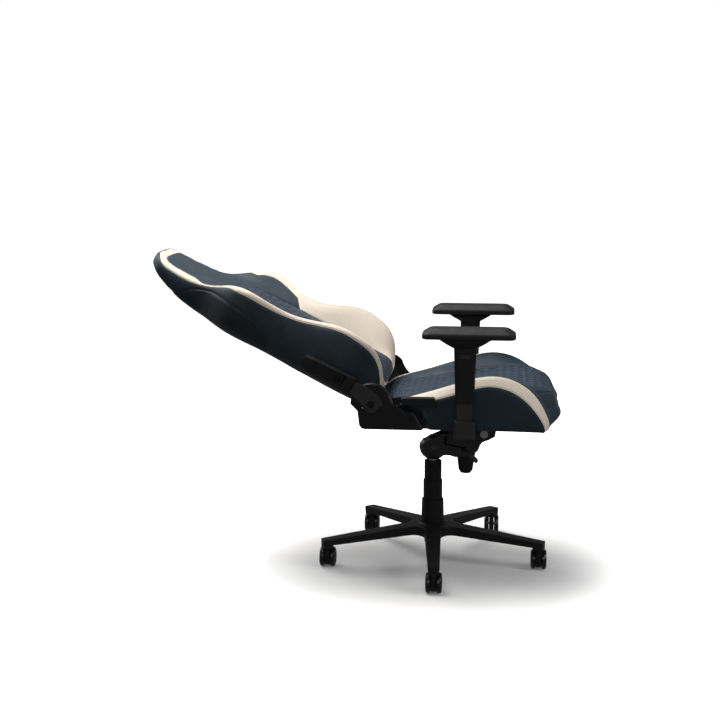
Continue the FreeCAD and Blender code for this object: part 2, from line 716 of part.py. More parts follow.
# ================================================================ recliner
def recliner_plates():
    """The fixed plates with their toothed discs, bolted to the ends of the seat frame."""
    solids = []
    for side in SIDES.values():
        y0, y1 = recliner_inner_y, recliner_inner_y + recliner_plate
        outline = [(-186, 474), (-30, 474), (-48, 506), (pivot_x + 38, pivot_z - 8),
                   (pivot_x + 26, pivot_z + 26), (pivot_x - 26, pivot_z + 26), (-192, 520)]
        plate = prism_xz(outline, side * y0, side * y1)
        disc = cross_rod(pivot_x, pivot_z, side * y1, side * (y1 + disc_height), disc_r)
        foot = box(-140, -60, side * (frame_half_width + 1), side * (y0 + 1), 474, 480)
        body = fused([plate, disc, foot])
        solids.append(body.cut(cross_rod(pivot_x, pivot_z, -300, 300, pin_r)))
    return solids


def recliner_pins():
    solids = []
    for side in SIDES.values():
        head_y = arm_hub_y + arm_plate + 0.4
        shank = cross_rod(pivot_x, pivot_z, side * (recliner_inner_y - 1), side * head_y, pin_r)
        head = cross_rod(pivot_x, pivot_z, side * head_y, side * (head_y + pin_head_h), pin_head_r)
        solids.append(fused([shank, head]))
    return solids


def side_cover_outline(inset, y):
    """The side cover's edge, drawn in by inset: round over the pivot, then down in a curl to a toe."""
    i = inset
    top_r = 60.0 - i
    px, pz = pivot_x, pivot_z
    def round_pivot(angle):
        return V(px + top_r * cos(radians(angle)), y, pz + top_r * sin(radians(angle)))
    start, over, end = round_pivot(182), round_pivot(110), round_pivot(38)
    curl_mid, curl_end = V(-84 - i * 0.7, y, 530 - i * 0.8), V(-40 - i * 0.5, y, 514 - i)
    toe = V(-16 - i * 1.1, y, 470 - i * 0.1)
    floor_z = 466 + i
    toe_low = V(-20 - i * 1.1, y, floor_z)
    heel_r = 18.0
    rear_x = -204 + i
    heel = V(-200 + i + heel_r, y, floor_z)
    heel_mid = V(-200 + i + heel_r * (1 - sqrt(0.5)), y, floor_z + heel_r * (1 - sqrt(0.5)))
    heel_up = V(-200 + i, y, floor_z + heel_r)
    rear = V(rear_x, y, start.z - 20)
    return Part.Wire([
        Part.Arc(start, over, end).toShape(),
        Part.Arc(end, curl_mid, curl_end).toShape(),
        Part.LineSegment(curl_end, toe).toShape(),
        Part.LineSegment(toe, toe_low).toShape(),
        Part.LineSegment(toe_low, heel).toShape(),
        Part.Arc(heel, heel_mid, heel_up).toShape(),
        Part.LineSegment(heel_up, rear).toShape(),
        Part.LineSegment(rear, start).toShape(),
    ])


def side_cover_form(inset, inner_y, outer_y, bevel):
    """A thick plate of the side cover's outline, bevelled round its outer face, on the right-hand side."""
    band = Part.Face(side_cover_outline(inset, -inner_y)).extrude(V(0, inner_y + bevel - outer_y, 0))
    if bevel == 0.0:
        return band
    slope = Part.makeLoft([side_cover_outline(inset, bevel - outer_y),
                           side_cover_outline(inset + bevel, -outer_y)], True, True)
    return band.fuse(slope)


def side_cover(side):
    """A shell round the recliner, open towards the seat, and open above for the lever and the backrest."""
    wall = side_cover_wall
    outer = side_cover_form(0.0, recliner_inner_y + 1, side_cover_y, side_bevel)
    inner = side_cover_form(wall, recliner_inner_y - 5, side_cover_y - wall, 0.0)
    shell = outer.cut(inner)
    shell = shell.cut(cross_rod(pivot_x, pivot_z, -300, -200, hub_hole_r))
    lever_room = recliner_inner_y + recliner_plate + disc_height + lever_plate + 8
    open_top = box(-260, -62, -(recliner_inner_y - 10), -lever_room, 508, 640)
    shell = shell.cut(open_top)
    return on_side(max(shell.Solids, key=lambda s: s.Volume), side)


def recline_lever():
    """A steel plate that turns about the recliner pin, and its scalloped hand grip."""
    y0 = recliner_inner_y + recliner_plate + disc_height + 1.5
    y1 = y0 + lever_plate
    hub = cross_rod(pivot_x, pivot_z, -y0, -y1, 15)
    arm = prism_xz([(pivot_x, pivot_z - 14), (-118, pivot_z - 9), (-70, 543), (-48, 543),
                    (-48, 559), (-70, 561), (-118, pivot_z + 14), (pivot_x, pivot_z + 14)], -y0, -y1)
    plate = fused([hub, arm]).cut(cross_rod(pivot_x, pivot_z, -300, -200, pin_r + RUN))
    outline = [(grip_rear_x, grip_bottom_z + 2), (grip_front_x, grip_bottom_z),
               (grip_front_x - 10, grip_top_z), (grip_rear_x + 8, grip_top_z - 1),
               (grip_rear_x - 5, grip_top_z - 5)]
    grip = prism_xz(outline, -grip_inner_y, -grip_outer_y)
    pitch = (grip_front_x - grip_rear_x - 12) / grip_scallops
    for k in range(grip_scallops):
        x = grip_rear_x + 8 + (k + 0.5) * pitch
        grip = grip.cut(cross_rod(x, grip_bottom_z - 4.5, -300, -200, 8))
    long_edges = [e for e in grip.Edges if e.Length > 60]
    grip = grip.makeFillet(2.0, long_edges)
    lug = box(-70, -50, -y0, -(grip_inner_y + 4), 545, 557)
    return fused([plate, grip, lug])


# ================================================================ backrest
# The backrest is drawn upright on its pivot: x is the way out of its front (v), z runs up it (u).
# station: u, rear half width, rear v, outer half width, its v, crest half width, crest v,
#          centre half width, centre v at its edge, v on the centre line
back_stations = [
    (-10, 178, -12, 208, 12, 204, 40, 140, 44, 44),
    (4, 190, -28, 234, 14, 230, 70, 148, 60, 62),
    (30, 196, -36, 242, 22, 236, 109, 150, 66, 71),
    (66, 198, -36, 243, 28, 239, 136, 150, 67, 76),
    (105, 200, -36, 256, 34, 243, 147, 150, 67, 78),
    (150, 200, -36, 258, 40, 242, 151, 150, 67, 79),
    (197, 198, -36, 246, 40, 226, 144, 150, 68, 79),
    (238, 194, -36, 231, 38, 208, 130, 150, 69, 78),
    (285, 190, -35, 222, 34, 200, 115, 148, 70, 77),
    (332, 190, -34, 223, 30, 201, 107, 146, 71, 76),
    (380, 196, -33, 240, 30, 222, 109, 144, 71, 76),
    (425, 204, -32, 262, 32, 250, 116, 142, 70, 76),
    (468, 204, -31, 271, 34, 258, 118, 138, 70, 76),
    (510, 190, -30, 250, 34, 234, 106, 130, 68, 76),
    (548, 170, -29, 212, 30, 198, 84, 124, 66, 74),
    (590, 152, -28, 180, 22, 168, 62, 116, 63, 72),
    (650, 140, -20, 171, 14, 158, 54, 110, 60, 70),
    (710, 124, -1, 158, 22, 146, 54, 104, 60, 70),
    (752, 106, 17, 138, 34, 128, 58, 90, 64, 70),
    (777, 80, 31, 104, 46, 88, 64, 60, 67, 69),
]


def back_section(row):
    u, rear_w, rear_v, out_w, out_v, crest_w, crest_v, mid_w, mid_v, v0 = row
    half = [
        (rear_v, rear_w * 0.5),
        (rear_v, rear_w),
        (rear_v + 0.35 * (out_v - rear_v), out_w - 0.22 * (out_w - rear_w)),
        (out_v, out_w),
        (crest_v - 0.32 * (crest_v - out_v), crest_w + 0.75 * (out_w - crest_w)),
        (crest_v, crest_w),
        (crest_v - 0.5 * (crest_v - mid_v), mid_w + 0.42 * (crest_w - mid_w)),
        (mid_v, mid_w),
        (0.35 * mid_v + 0.65 * v0, mid_w * 0.5),
    ]
    points = [V(rear_v, 0, u)]
    points += [V(v, w, u) for v, w in half]
    points += [V(v0, 0, u)]
    points += [V(v, -w, u) for v, w in half[::-1]]
    return closed_splined(points)


def place_back(shape):
    """Leans a shape drawn upright on the pivot to the stored angle."""
    placed = shape.copy()
    placed.rotate(V(0, 0, 0), Y_AXIS, -(back_angle - 90))
    placed.translate(V(pivot_x, 0, pivot_z))
    return placed


def back_bolt_holes(radius):
    return [rod(V(arm_v, side * (back_frame_half_width - 30), u), V(arm_v, side * 300, u), radius)
            for side in SIDES.values() for u in arm_bolt_u]


def back_cushion():
    """The cushion, with a slot open at its foot for the frame and holes for the arm bolts."""
    cushion = Part.makeLoft([back_section(row) for row in back_stations], True, False)
    r = frame_tube_r + slot_play
    reach = back_frame_half_width + r
    slot = box(frame_tube_v - r, frame_tube_v + r, -reach, reach, -40, back_frame_top_u + r)
    cushion = cushion.cut(slot)
    for hole in back_bolt_holes(bolt_r + 4):
        cushion = cushion.cut(hole)
    for side in SIDES.values():
        lug_y = side * (back_frame_half_width + 4), side * (back_frame_half_width + 10)
        lug = box(frame_tube_v, arm_v + 11, *lug_y,
                  arm_bolt_u[0] - 19, arm_bolt_u[1] + 19)
        cushion = cushion.cut(lug)
    return max(cushion.Solids, key=lambda s: s.Volume)


def tube_along(points, radius, bend_r):
    """A round bar along straight runs joined by tangent arcs in one plane of constant x."""
    edges, start = [], points[0]
    for before, corner, after in zip(points, points[1:], points[2:]):
        into, out = (corner - before).normalize(), (after - corner).normalize()
        half_turn = into.getAngle(out) / 2
        back_off = bend_r * tan(half_turn)
        a, b = corner - into * back_off, corner + out * back_off
        centre = a + (out - into * into.dot(out)).normalize() * bend_r
        mid = centre + (corner - centre).normalize() * bend_r
        edges += [Part.LineSegment(start, a).toShape(), Part.Arc(a, mid, b).toShape()]
        start = b
    edges.append(Part.LineSegment(start, points[-1]).toShape())
    first = (points[1] - points[0]).normalize()
    circle = Part.Wire([Part.makeCircle(radius, points[0], first)])
    return Part.Wire(edges).makePipeShell([circle], True, True)


def back_frame():
    """A bent tube hoop with cross tubes and side plates for the arm bolts."""
    w, v = back_frame_half_width, frame_tube_v
    low, high = back_frame_bottom_u, back_frame_top_u
    hoop = tube_along([V(v, -w, low), V(v, -w, high - 90), V(v, -w + 50, high), V(v, w - 50, high),
                       V(v, w, high - 90), V(v, w, low)], frame_tube_r, 40)
    cross = [rod(V(v, -w, u), V(v, w, u), frame_tube_r - 2) for u in (low + 12, 290.0)]
    pieces = [hoop] + cross
    for side in SIDES.values():
        y0, y1 = side * (w + 5), side * (w + 9)
        u0, u1 = arm_bolt_u[0] - 18, arm_bolt_u[1] + 18
        pieces.append(box(v - 4, arm_v + 10, y0, y1, u0, u1))
        for u in arm_bolt_u:
            pieces.append(rod(V(arm_v, y1 - side, u), V(arm_v, side * (w + 17), u), bolt_r + 3.5))
    frame = fused(pieces)
    for side in SIDES.values():
        for u in arm_bolt_u:
            frame = frame.cut(rod(V(arm_v, side * (w + 4), u), V(arm_v, side * (w + 20), u), bolt_r + 0.1))
    return frame


def back_belts():
    reach = back_frame_half_width - frame_tube_r - 1
    v = frame_tube_v
    return [box(v - 1, v + 1, -reach, reach, u, u + back_belt_width) for u in back_belts_u
            if not u < 290 + frame_tube_r < u + back_belt_width + 2 * frame_tube_r]


def back_arm(side):
    """The steel arm: a hub on the recliner, a step inwards, and a bar along the backrest."""
    v0, v1 = arm_v - 19, arm_v + 19
    hub_y, up_y, t = arm_hub_y, arm_upper_y, arm_plate
    hub = prism_xz([(-22, -6), (-6, -24), (14, -31), (30, -12), (v1, 24), (v1, arm_step_u[0]),
                    (v0, arm_step_u[0])], -hub_y, -(hub_y + t))
    u0, u1 = arm_step_u
    step_face = Part.Face(polygon([V(v0, -hub_y, u0 - 6), V(v0, -(hub_y + t), u0 - 6),
                                   V(v0, -(hub_y + t), u0),
                                   V(v0, -(up_y + t), u1), V(v0, -(up_y + t), u1 + 6), V(v0, -up_y, u1 + 6),
                                   V(v0, -up_y, u1), V(v0, -hub_y, u0)]))
    step = step_face.extrude(V(v1 - v0, 0, 0))
    bar = box(v0, v1, -up_y, -(up_y + t), u1, arm_end_u)
    boss = rod(V(0, -(recliner_inner_y + recliner_plate + disc_height + lever_plate + 3), 0),
               V(0, -(hub_y + 1), 0), arm_boss_r)
    arm = fused([hub, step, bar, boss])
    arm = arm.cut(rod(V(0, -200, 0), V(0, -300, 0), pin_r + RUN))
    for u in arm_bolt_u:
        arm = arm.cut(rod(V(arm_v, -200, u), V(arm_v, -300, u), bolt_r + 0.2))
    return on_side(arm, side)


def arm_cover(side):
    """The plastic cover over the arm, with a sunk panel in its face."""
    u0, u1 = arm_cover_u
    low, high = arm_v - 26, arm_v + 26
    outline = [(low, u0), (high + 2, u0), (high - 3, u1 - 36), (high - 6, u1 - 6), (low + 26, u1),
               (low + 10, u1 - 10), (low + 3, u1 - 40)]
    inner_y = arm_upper_y + arm_plate + 0.4
    outer = prism_xz(outline, -inner_y, -arm_cover_y)
    face_edges = [e for e in outer.Edges
                  if all(abs(p.Point.y + arm_cover_y) < 0.01 for p in e.Vertexes)]
    outer = outer.makeChamfer(4.0, face_edges)
    w = arm_cover_wall
    cavity = box(low + w + 3, high - w - 6, -(inner_y - 1), -(arm_cover_y - w - 7), u0 - 1, u1 - 16)
    step_room = box(low + w, high - w, -(inner_y - 1), -(arm_hub_y + arm_plate + 0.5),
                    u0 - 1, arm_step_u[1] + 8)
    sunk = prism_xz([(low + 9, u0 + 34), (high - 6, u0 + 28), (high - 9, u1 - 44), (low + 11, u1 - 36)],
                    -(arm_cover_y - 5), -(arm_cover_y + 1))
    access = rod(V(arm_v, -200, arm_bolt_u[0]), V(arm_v, -300, arm_bolt_u[0]), 10.5)
    cover = outer.cut(cavity).cut(step_room).cut(sunk).cut(access)
    return on_side(max(cover.Solids, key=lambda s: s.Volume), side)


def arm_bolts():
    """Bolts through the arms into the frame, and the plug over the lower one."""
    solids = []
    for side in SIDES.values():
        face_y = arm_upper_y + arm_plate + 0.1
        for u in arm_bolt_u:
            start = V(arm_v, side * (back_frame_half_width + 10), u)
            shank = rod(start, V(arm_v, side * face_y, u), bolt_r)
            head = rod(V(arm_v, side * face_y, u), V(arm_v, side * (face_y + 5), u), bolt_head_r + 1)
            solids.append(fused([shank, head]))
        u = arm_bolt_u[0]
        plug = rod(V(arm_v, side * (face_y + 8), u), V(arm_v, side * (arm_cover_y - 3.5), u), 10.5 - 0.2)
        solids.append(plug)
    return solids


# ================================================================ armrests (drawn on the right-hand side)
def arm_bracket(side):
    """The steel bracket under the seat with its upright, and the collar round the upright's foot."""
    z1 = seat_bottom_z - 0.1
    z0 = z1 - bracket_thickness
    plate = box(post_x - 30, post_x + 30, -bracket_inner_y, -(post_y + upright_y), z0, z1)
    tube = box(post_x - upright_x, post_x + upright_x, -(post_y - upright_y), -(post_y + upright_y),
               z0, upright_top_z)
    w = upright_wall
    hollow = box(post_x - upright_x + w, post_x + upright_x - w, -(post_y - upright_y + w),
                 -(post_y + upright_y - w), z1 + 2, upright_top_z + 1)
    steel = fused([plate, tube]).cut(hollow)
    for x, y in arm_bolt_points():
        steel = steel.cut(upright_rod(x, y, z0 - 1, z1 + 1, bolt_hole_r))
    foot = rounded_rectangle(post_x - collar_x, post_x + collar_x,
                             -(post_y + collar_y), -(post_y - collar_y),
                             collar_bottom_z, 8)
    collar = Part.Face(foot).extrude(V(0, 0, collar_top_z - collar_bottom_z))
    collar = collar.cut(box(post_x - upright_x - 0.1, post_x + upright_x + 0.1, -(post_y - upright_y - 0.1),
                            -(post_y + upright_y + 0.1), z0 - 0.1, collar_top_z + 1))
    half = collar_x + 0.6
    collar = collar.cut(box(post_x - half, post_x + half, -bracket_inner_y, -(post_y - upright_y),
                            z0 - 0.1, z1 + 0.1))
    return [on_side(steel, side), on_side(max(collar.Solids, key=lambda s: s.Volume), side)]


def sleeve_wire(half, z, radius):
    return rounded_rectangle(post_x - half[0], post_x + half[0], -(post_y + half[1]), -(post_y - half[1]),
                             z, radius)


def button_pocket(play):
    """The window in the sleeve for the height button, and the button's own size without play."""
    w, h = button_width / 2 + play, button_height / 2 + play
    return box(post_x - w, post_x + w, -(post_y + upright_y + 1.0 + SLIDE), -(post_y + 40),
               button_z - h, button_z + h)


def arm_sleeve(side):
    """The moulded sleeve that slides on the upright, flared at its top, with two guide grooves."""
    stem = Part.makeLoft([sleeve_wire(sleeve_foot, sleeve_bottom_z, 8),
                          sleeve_wire(sleeve_neck, sleeve_neck_z, 8)], True, True)
    flare = Part.makeLoft([sleeve_wire(sleeve_neck, sleeve_neck_z, 8),
                           sleeve_wire(sleeve_head, sleeve_top_z, 8)], True, True)
    body = fused([stem, flare])
    c = SLIDE
    body = body.cut(box(post_x - upright_x - c, post_x + upright_x + c, -(post_y - upright_y - c),
                        -(post_y + upright_y + c), sleeve_bottom_z - 1, upright_top_z + height_down + 8))
    body = body.cut(button_pocket(SLIDE / 2))
    for s in (-1, 1):
        x = post_x + s * guide_spacing
        body = body.cut(box(x - guide_width / 2 - c, x + guide_width / 2 + c, -(post_y - 60), -(post_y + 60),
                            sleeve_top_z - guide_depth - c, sleeve_top_z + 1))
    return on_side(body, side)


def height_button(side):
    body = button_pocket(0.0).common(
        box(post_x - 50, post_x + 50, -(post_y + upright_y + 4), -(post_y + sleeve_neck[1] + button_proud),
            button_z - 30, button_z + 30))
    outer = [e for e in body.Edges
             if all(abs(p.Point.y + post_y + sleeve_neck[1] + button_proud) < 0.01 for p in e.Vertexes)]
    return on_side(body.makeFillet(1.5, outer), side)


def slide_plate(side):
    """The plate that shifts sideways on the sleeve: ribs below, a bore for the turntable."""
    z0 = sleeve_top_z + carrier_gap
    z1 = z0 + carrier_thickness
    tiers = [sleeve_wire(slide_plate_foot, z0, 8), sleeve_wire(slide_plate_head, z1, 8)]
    body = Part.makeLoft(tiers, True, True)
    ribs = []
    for s in (-1, 1):
        x = post_x + s * guide_spacing
        ribs.append(box(x - guide_width / 2, x + guide_width / 2, -(post_y - 29), -(post_y + 29),
                        sleeve_top_z - guide_depth, z0 + 1))
    body = fused([body] + ribs)
    return on_side(body.cut(upright_rod(post_x, -post_y, z0 - 5, z1 + 1, turn_pin_r + RUN)), side)


def turntable(side):
    """The plate that turns on the slide plate, with a guide groove for the pad."""
    z0 = sleeve_top_z + 2 * carrier_gap + carrier_thickness
    z1 = z0 + carrier_thickness
    tiers = [sleeve_wire(turntable_foot, z0, 10), sleeve_wire(turntable_head, z1, 10)]
    body = Part.makeLoft(tiers, True, True)
    pin = upright_rod(post_x, -post_y, z0 - carrier_gap - carrier_thickness + 0.5, z0 + 1, turn_pin_r)
    body = fused([body, pin])
    groove = box(post_x - 200, post_x + 200, -(post_y - guide_width), -(post_y + guide_width),
                 z1 - guide_depth - SLIDE, z1 + 1)
    return on_side(body.cut(groove), side)


def pad_bottom_z():
    return sleeve_top_z + 3 * carrier_gap + 2 * carrier_thickness


def arm_pad(side):
    """The soft pad, bevelled round its top, with a runner in the turntable's groove."""
    z0 = pad_bottom_z()
    z1 = z0 + pad_thickness
    edge_z, shoulder_z = z0 + pad_edge, z1 - pad_bevel_z

    def plan(z, inset_x, inset_y, radius):
        half = pad_half_width - inset_y
        return rounded_rectangle(pad_rear_x + inset_x, pad_front_x - inset_x, -(pad_y + half), half - pad_y,
                                 z, radius)

    foot = plan(z0, 3.0, 2.0, pad_corner_r)
    edge = plan(edge_z, 0.0, 0.0, pad_corner_r)
    shoulder = plan(shoulder_z, 1.0, 0.5, pad_corner_r)
    top = plan(z1, pad_bevel_x, pad_bevel_y, pad_corner_r - 4)
    tiers = [Part.makeLoft([lower, upper], True, True)
             for lower, upper in ((foot, edge), (edge, shoulder), (shoulder, top))]
    runner = box(post_x - pad_runner, post_x + pad_runner, -(post_y - guide_width + SLIDE),
                 -(post_y + guide_width - SLIDE), z0 - carrier_gap - guide_depth, z0 + 1)
    return on_side(fused(tiers + [runner]), side)


# ================================================================ the files
def main():
    os.makedirs("parts", exist_ok=True)
    save("star_base", star_base())
    for leg in range(LEGS):
        housing, wheels = caster(leg)
        save(f"caster_{leg + 1}_housing", *housing)
        save(f"caster_{leg + 1}_wheels", *wheels)
    save("gas_stand_tube", stand_tube())
    save("gas_guide_bush", guide_bush())
    save("gas_piston_rod", piston_rod())
    save("thrust_bearing", thrust_bearing())
    save("gas_cylinder", gas_cylinder())
    save("gas_valve_pin", valve_pin())
    save("column_cover_upper", stage(*stage_upper))
    save("column_cover_middle", stage(*stage_middle))
    save("column_cover_lower", stage(*stage_lower, stage_flare))
    save("tilt_housing", tilt_housing())
    save("tilt_pivot_shaft", tilt_shaft())
    save("tension_spring", tension_spring())
    save("tension_knob", tension_knob())
    save("lift_lever", hand_lever(RIGHT, True))
    save("tilt_lock_lever", hand_lever(LEFT, False))
    save("seat_plate", seat_plate())
    save("seat_bolts", *seat_bolts())
    save("seat_frame", seat_frame())
    save("seat_belts", *seat_belts())
    save("seat_dust_cover", *dust_cover())
    save("seat_cushion", seat_cushion())
    save("recliner_plates", *recliner_plates())
    save("recliner_pins", *recliner_pins())
    save("recline_lever", recline_lever())
    save("back_frame", place_back(back_frame()))
    save("back_belts", *[place_back(b) for b in back_belts()])
    save("back_cushion", place_back(back_cushion()))
    save("back_arm_bolts", *[place_back(b) for b in arm_bolts()])
    for name, side in SIDES.items():
        save(f"side_cover_{name}", side_cover(side))
        save(f"back_arm_{name}", place_back(back_arm(side)))
        save(f"back_arm_cover_{name}", place_back(arm_cover(side)))
        save(f"armrest_bracket_{name}", *arm_bracket(side))
        save(f"armrest_sleeve_{name}", arm_sleeve(side))
        save(f"armrest_button_{name}", height_button(side))
        save(f"armrest_slide_plate_{name}", slide_plate(side))
        save(f"armrest_turntable_{name}", turntable(side))
        save(f"armrest_pad_{name}", arm_pad(side))


main()
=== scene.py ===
"""Looks of a reclining bucket gaming chair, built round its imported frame."""

import json
import math

import bmesh
import bpy
import numpy as np
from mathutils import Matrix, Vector
from mathutils.bvhtree import BVHTree


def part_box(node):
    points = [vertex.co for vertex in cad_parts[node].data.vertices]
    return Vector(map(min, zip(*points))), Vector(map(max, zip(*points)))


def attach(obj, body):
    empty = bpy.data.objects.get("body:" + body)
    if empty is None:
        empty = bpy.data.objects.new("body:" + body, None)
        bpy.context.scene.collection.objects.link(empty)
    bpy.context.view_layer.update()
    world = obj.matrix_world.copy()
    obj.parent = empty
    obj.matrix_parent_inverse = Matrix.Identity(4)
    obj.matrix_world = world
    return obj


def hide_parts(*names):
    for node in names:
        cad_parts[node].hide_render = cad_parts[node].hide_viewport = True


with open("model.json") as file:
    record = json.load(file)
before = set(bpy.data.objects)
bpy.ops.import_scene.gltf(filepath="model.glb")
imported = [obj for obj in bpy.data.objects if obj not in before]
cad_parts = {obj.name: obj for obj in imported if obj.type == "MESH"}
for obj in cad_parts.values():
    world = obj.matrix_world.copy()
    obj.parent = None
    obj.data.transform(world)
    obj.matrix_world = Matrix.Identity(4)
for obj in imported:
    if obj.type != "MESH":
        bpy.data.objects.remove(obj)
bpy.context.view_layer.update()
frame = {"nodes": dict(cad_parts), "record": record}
MM = 0.001

# ---------------------------------------------------------------- the backrest's own axes
pivot = np.array([-164.0, 0.0, 541.0])
lean = math.radians(153.0 - 90.0)            # how far the backrest leans from upright
along_v = np.array([math.cos(lean), 0.0, math.sin(lean)])
along_u = np.array([-math.sin(lean), 0.0, math.cos(lean)])

# u, rear half width, rear v, outer half width, its v, crest half width, crest v,
# centre half width, centre v at its edge, v on the centre line
back_stations = np.array([
    (-10, 178, -12, 208, 12, 204, 40, 140, 44, 44),
    (4, 190, -28, 234, 14, 230, 70, 148, 60, 62),
    (30, 196, -36, 242, 22, 236, 109, 150, 66, 71),
    (66, 198, -36, 243, 28, 239, 136, 150, 67, 76),
    (105, 200, -36, 256, 34, 243, 147, 150, 67, 78),
    (150, 200, -36, 258, 40, 242, 151, 150, 67, 79),
    (197, 198, -36, 246, 40, 226, 144, 150, 68, 79),
    (238, 194, -36, 231, 38, 208, 130, 150, 69, 78),
    (285, 190, -35, 222, 34, 200, 115, 148, 70, 77),
    (332, 190, -34, 223, 30, 201, 107, 146, 71, 76),
    (380, 196, -33, 240, 30, 222, 109, 144, 71, 76),
    (425, 204, -32, 262, 32, 250, 116, 142, 70, 76),
    (468, 204, -31, 271, 34, 258, 118, 138, 70, 76),
    (510, 190, -30, 250, 34, 234, 106, 130, 68, 76),
    (548, 170, -29, 212, 30, 198, 84, 124, 66, 74),
    (590, 152, -28, 180, 22, 168, 62, 116, 63, 72),
    (650, 140, -20, 171, 14, 158, 54, 110, 60, 70),
    (710, 124, -1, 158, 22, 146, 54, 104, 60, 70),
    (752, 106, 17, 138, 34, 128, 58, 90, 64, 70),
    (777, 80, 31, 104, 46, 88, 64, 60, 67, 69),
], float)
back_samples = [14, 14, 7, 7, 5, 6, 5, 5, 4, 4]      # from the centre line round to the rear centre
back_ring_step = 6.0

# profiles of the seat from the rear underside over the top to the front underside, as (x, z)
seat_middle = [(-180, 466), (-180, 484), (-165, 503), (-135, 520), (-90, 533), (-20, 546), (60, 560),
               (130, 569), (200, 577), (262, 583), (312, 579), (346, 560), (367, 521), (377, 497),
               (346, 463)]
seat_crest = [(-180, 466), (-180, 484), (-165, 506), (-130, 531), (-85, 546), (-25, 562), (50, 585),
              (112, 605), (172, 616), (225, 609), (268, 588), (305, 553), (333, 505), (341, 480),
              (340, 463)]
seat_edge = [(-178, 466), (-178, 482), (-165, 500), (-130, 522), (-80, 536), (-15, 546), (48, 558),
             (108, 577), (168, 590), (218, 582), (260, 560), (298, 523), (322, 488), (328, 474),
             (329, 463)]
seat_rows = [(0.0, 0.0, 0.0), (90.0, 0.0, 0.0), (160.0, 0.12, 0.0), (200.0, 0.72, 0.0),
             (231.0, 1.0, 0.0), (252.0, 1.0, 0.7), (262.0, 1.0, 1.0)]   # y, share of crest, of edge
quilt_y, crest_y, edge_y = 165.0, 231.0, 262.0
seat_bottom = 462.0
quilt_length, quilt_width = 46.0, 38.0         # the diamonds of the quilting
cloth_frames = 20                              # frames that a cover is puffed out for


# ================================================================ numbers
def spline(knots, values, at):
    """A natural cubic spline through rows of values, read at several places."""
    x, y = np.asarray(knots, float), np.asarray(values, float)
    n, h = len(x), np.diff(x)
    m = np.zeros((n, n))
    r = np.zeros((n,) + y.shape[1:])
    m[0, 0] = m[-1, -1] = 1.0
    for i in range(1, n - 1):
        m[i, i - 1:i + 2] = h[i - 1], 2 * (h[i - 1] + h[i]), h[i]
        r[i] = 6 * ((y[i + 1] - y[i]) / h[i] - (y[i] - y[i - 1]) / h[i - 1])
    c = np.linalg.solve(m, r)
    at = np.asarray(at, float)
    k = np.clip(np.searchsorted(x, at) - 1, 0, n - 2)
    a, b, w = x[k + 1] - at, at - x[k], h[k]
    shape = (-1,) + (1,) * (y.ndim - 1)
    a, b, w = a.reshape(shape), b.reshape(shape), w.reshape(shape)
    return (c[k] * a**3 + c[k + 1] * b**3) / (6 * w) + (y[k] / w - c[k] * w / 6) * a \
        + (y[k + 1] / w - c[k + 1] * w / 6) * b


def closed_spline(points, samples):
    """A closed curve through the points, with a number of samples for each stretch."""
    p = np.asarray(points, float)
    wrap = 4
    padded = np.vstack([p[-wrap:], p, p[:wrap + 1]])
    chord = np.concatenate([[0], np.cumsum(np.linalg.norm(np.diff(padded, axis=0), axis=1) ** 0.75)])
    at = [np.linspace(chord[wrap + k], chord[wrap + k + 1], count, endpoint=False)
          for k, count in enumerate(samples)]
    return spline(chord, padded, np.concatenate(at))


def smooth(low, high, value):
    """Goes from 0 at low to 1 at high along an S curve."""
    t = np.clip((value - low) / (high - low), 0, 1)
    return t * t * (3 - 2 * t)


# ================================================================ meshes
def grid_mesh(name, rings):
    """A closed tube of quads with flat ends, from rings of points in millimetres."""
    count, size = rings.shape[:2]
    verts = rings.reshape(-1, 3) * MM
    faces = []
    for i in range(count - 1):
        for j in range(size):
            k = (j + 1) % size
            faces.append((i * size + j, i * size + k, (i + 1) * size + k, (i + 1) * size + j))
    faces.append(tuple(range(size))[::-1])
    faces.append(tuple((count - 1) * size + j for j in range(size)))
    mesh = bpy.data.meshes.new(name)
    mesh.from_pydata(verts.tolist(), [], faces)
    mesh.validate()
    obj = bpy.data.objects.new(name, mesh)
    bpy.context.scene.collection.objects.link(obj)
    fix_normals(obj)
    for polygon in mesh.polygons:
        polygon.use_smooth = True
    return obj


def fix_normals(obj):
    """Turns the faces outwards."""
    bm = bmesh.new()
    bm.from_mesh(obj.data)
    bmesh.ops.recalc_face_normals(bm, faces=bm.faces)
    bm.to_mesh(obj.data)
    bm.free()


def simple_mesh(name, verts, faces):
    """A smooth-shaded mesh from points in metres."""
    mesh = bpy.data.meshes.new(name)
    mesh.from_pydata([tuple(v) for v in verts], [], faces)
    obj = bpy.data.objects.new(name, mesh)
    bpy.context.scene.collection.objects.link(obj)
    fix_normals(obj)
    for polygon in mesh.polygons:
        polygon.use_smooth = True
    return obj


def coordinates(obj):
    co = np.zeros(len(obj.data.vertices) * 3)
    obj.data.vertices.foreach_get("co", co)
    return co.reshape(-1, 3)


def set_coordinates(obj, co):
    obj.data.vertices.foreach_set("co", co.ravel())
    obj.data.update()


def vertex_normals(obj):
    n = np.zeros(len(obj.data.vertices) * 3)
    obj.data.vertex_normals.foreach_get("vector", n)
    return n.reshape(-1, 3)


def write_values(obj, name, values):
    attribute = obj.data.attributes.get(name) or obj.data.attributes.new(name, "FLOAT", "POINT")
    attribute.data.foreach_set("value", np.asarray(values, np.float32))


def read_values(obj, name):
    values = np.zeros(len(obj.data.vertices), np.float32)
    obj.data.attributes[name].data.foreach_get("value", values)
    return values.astype(float)


def apply_modifiers(obj):
    depsgraph = bpy.context.evaluated_depsgraph_get()
    mesh = bpy.data.meshes.new_from_object(obj.evaluated_get(depsgraph), depsgraph=depsgraph)
    obj.modifiers.clear()
    obj.data = mesh


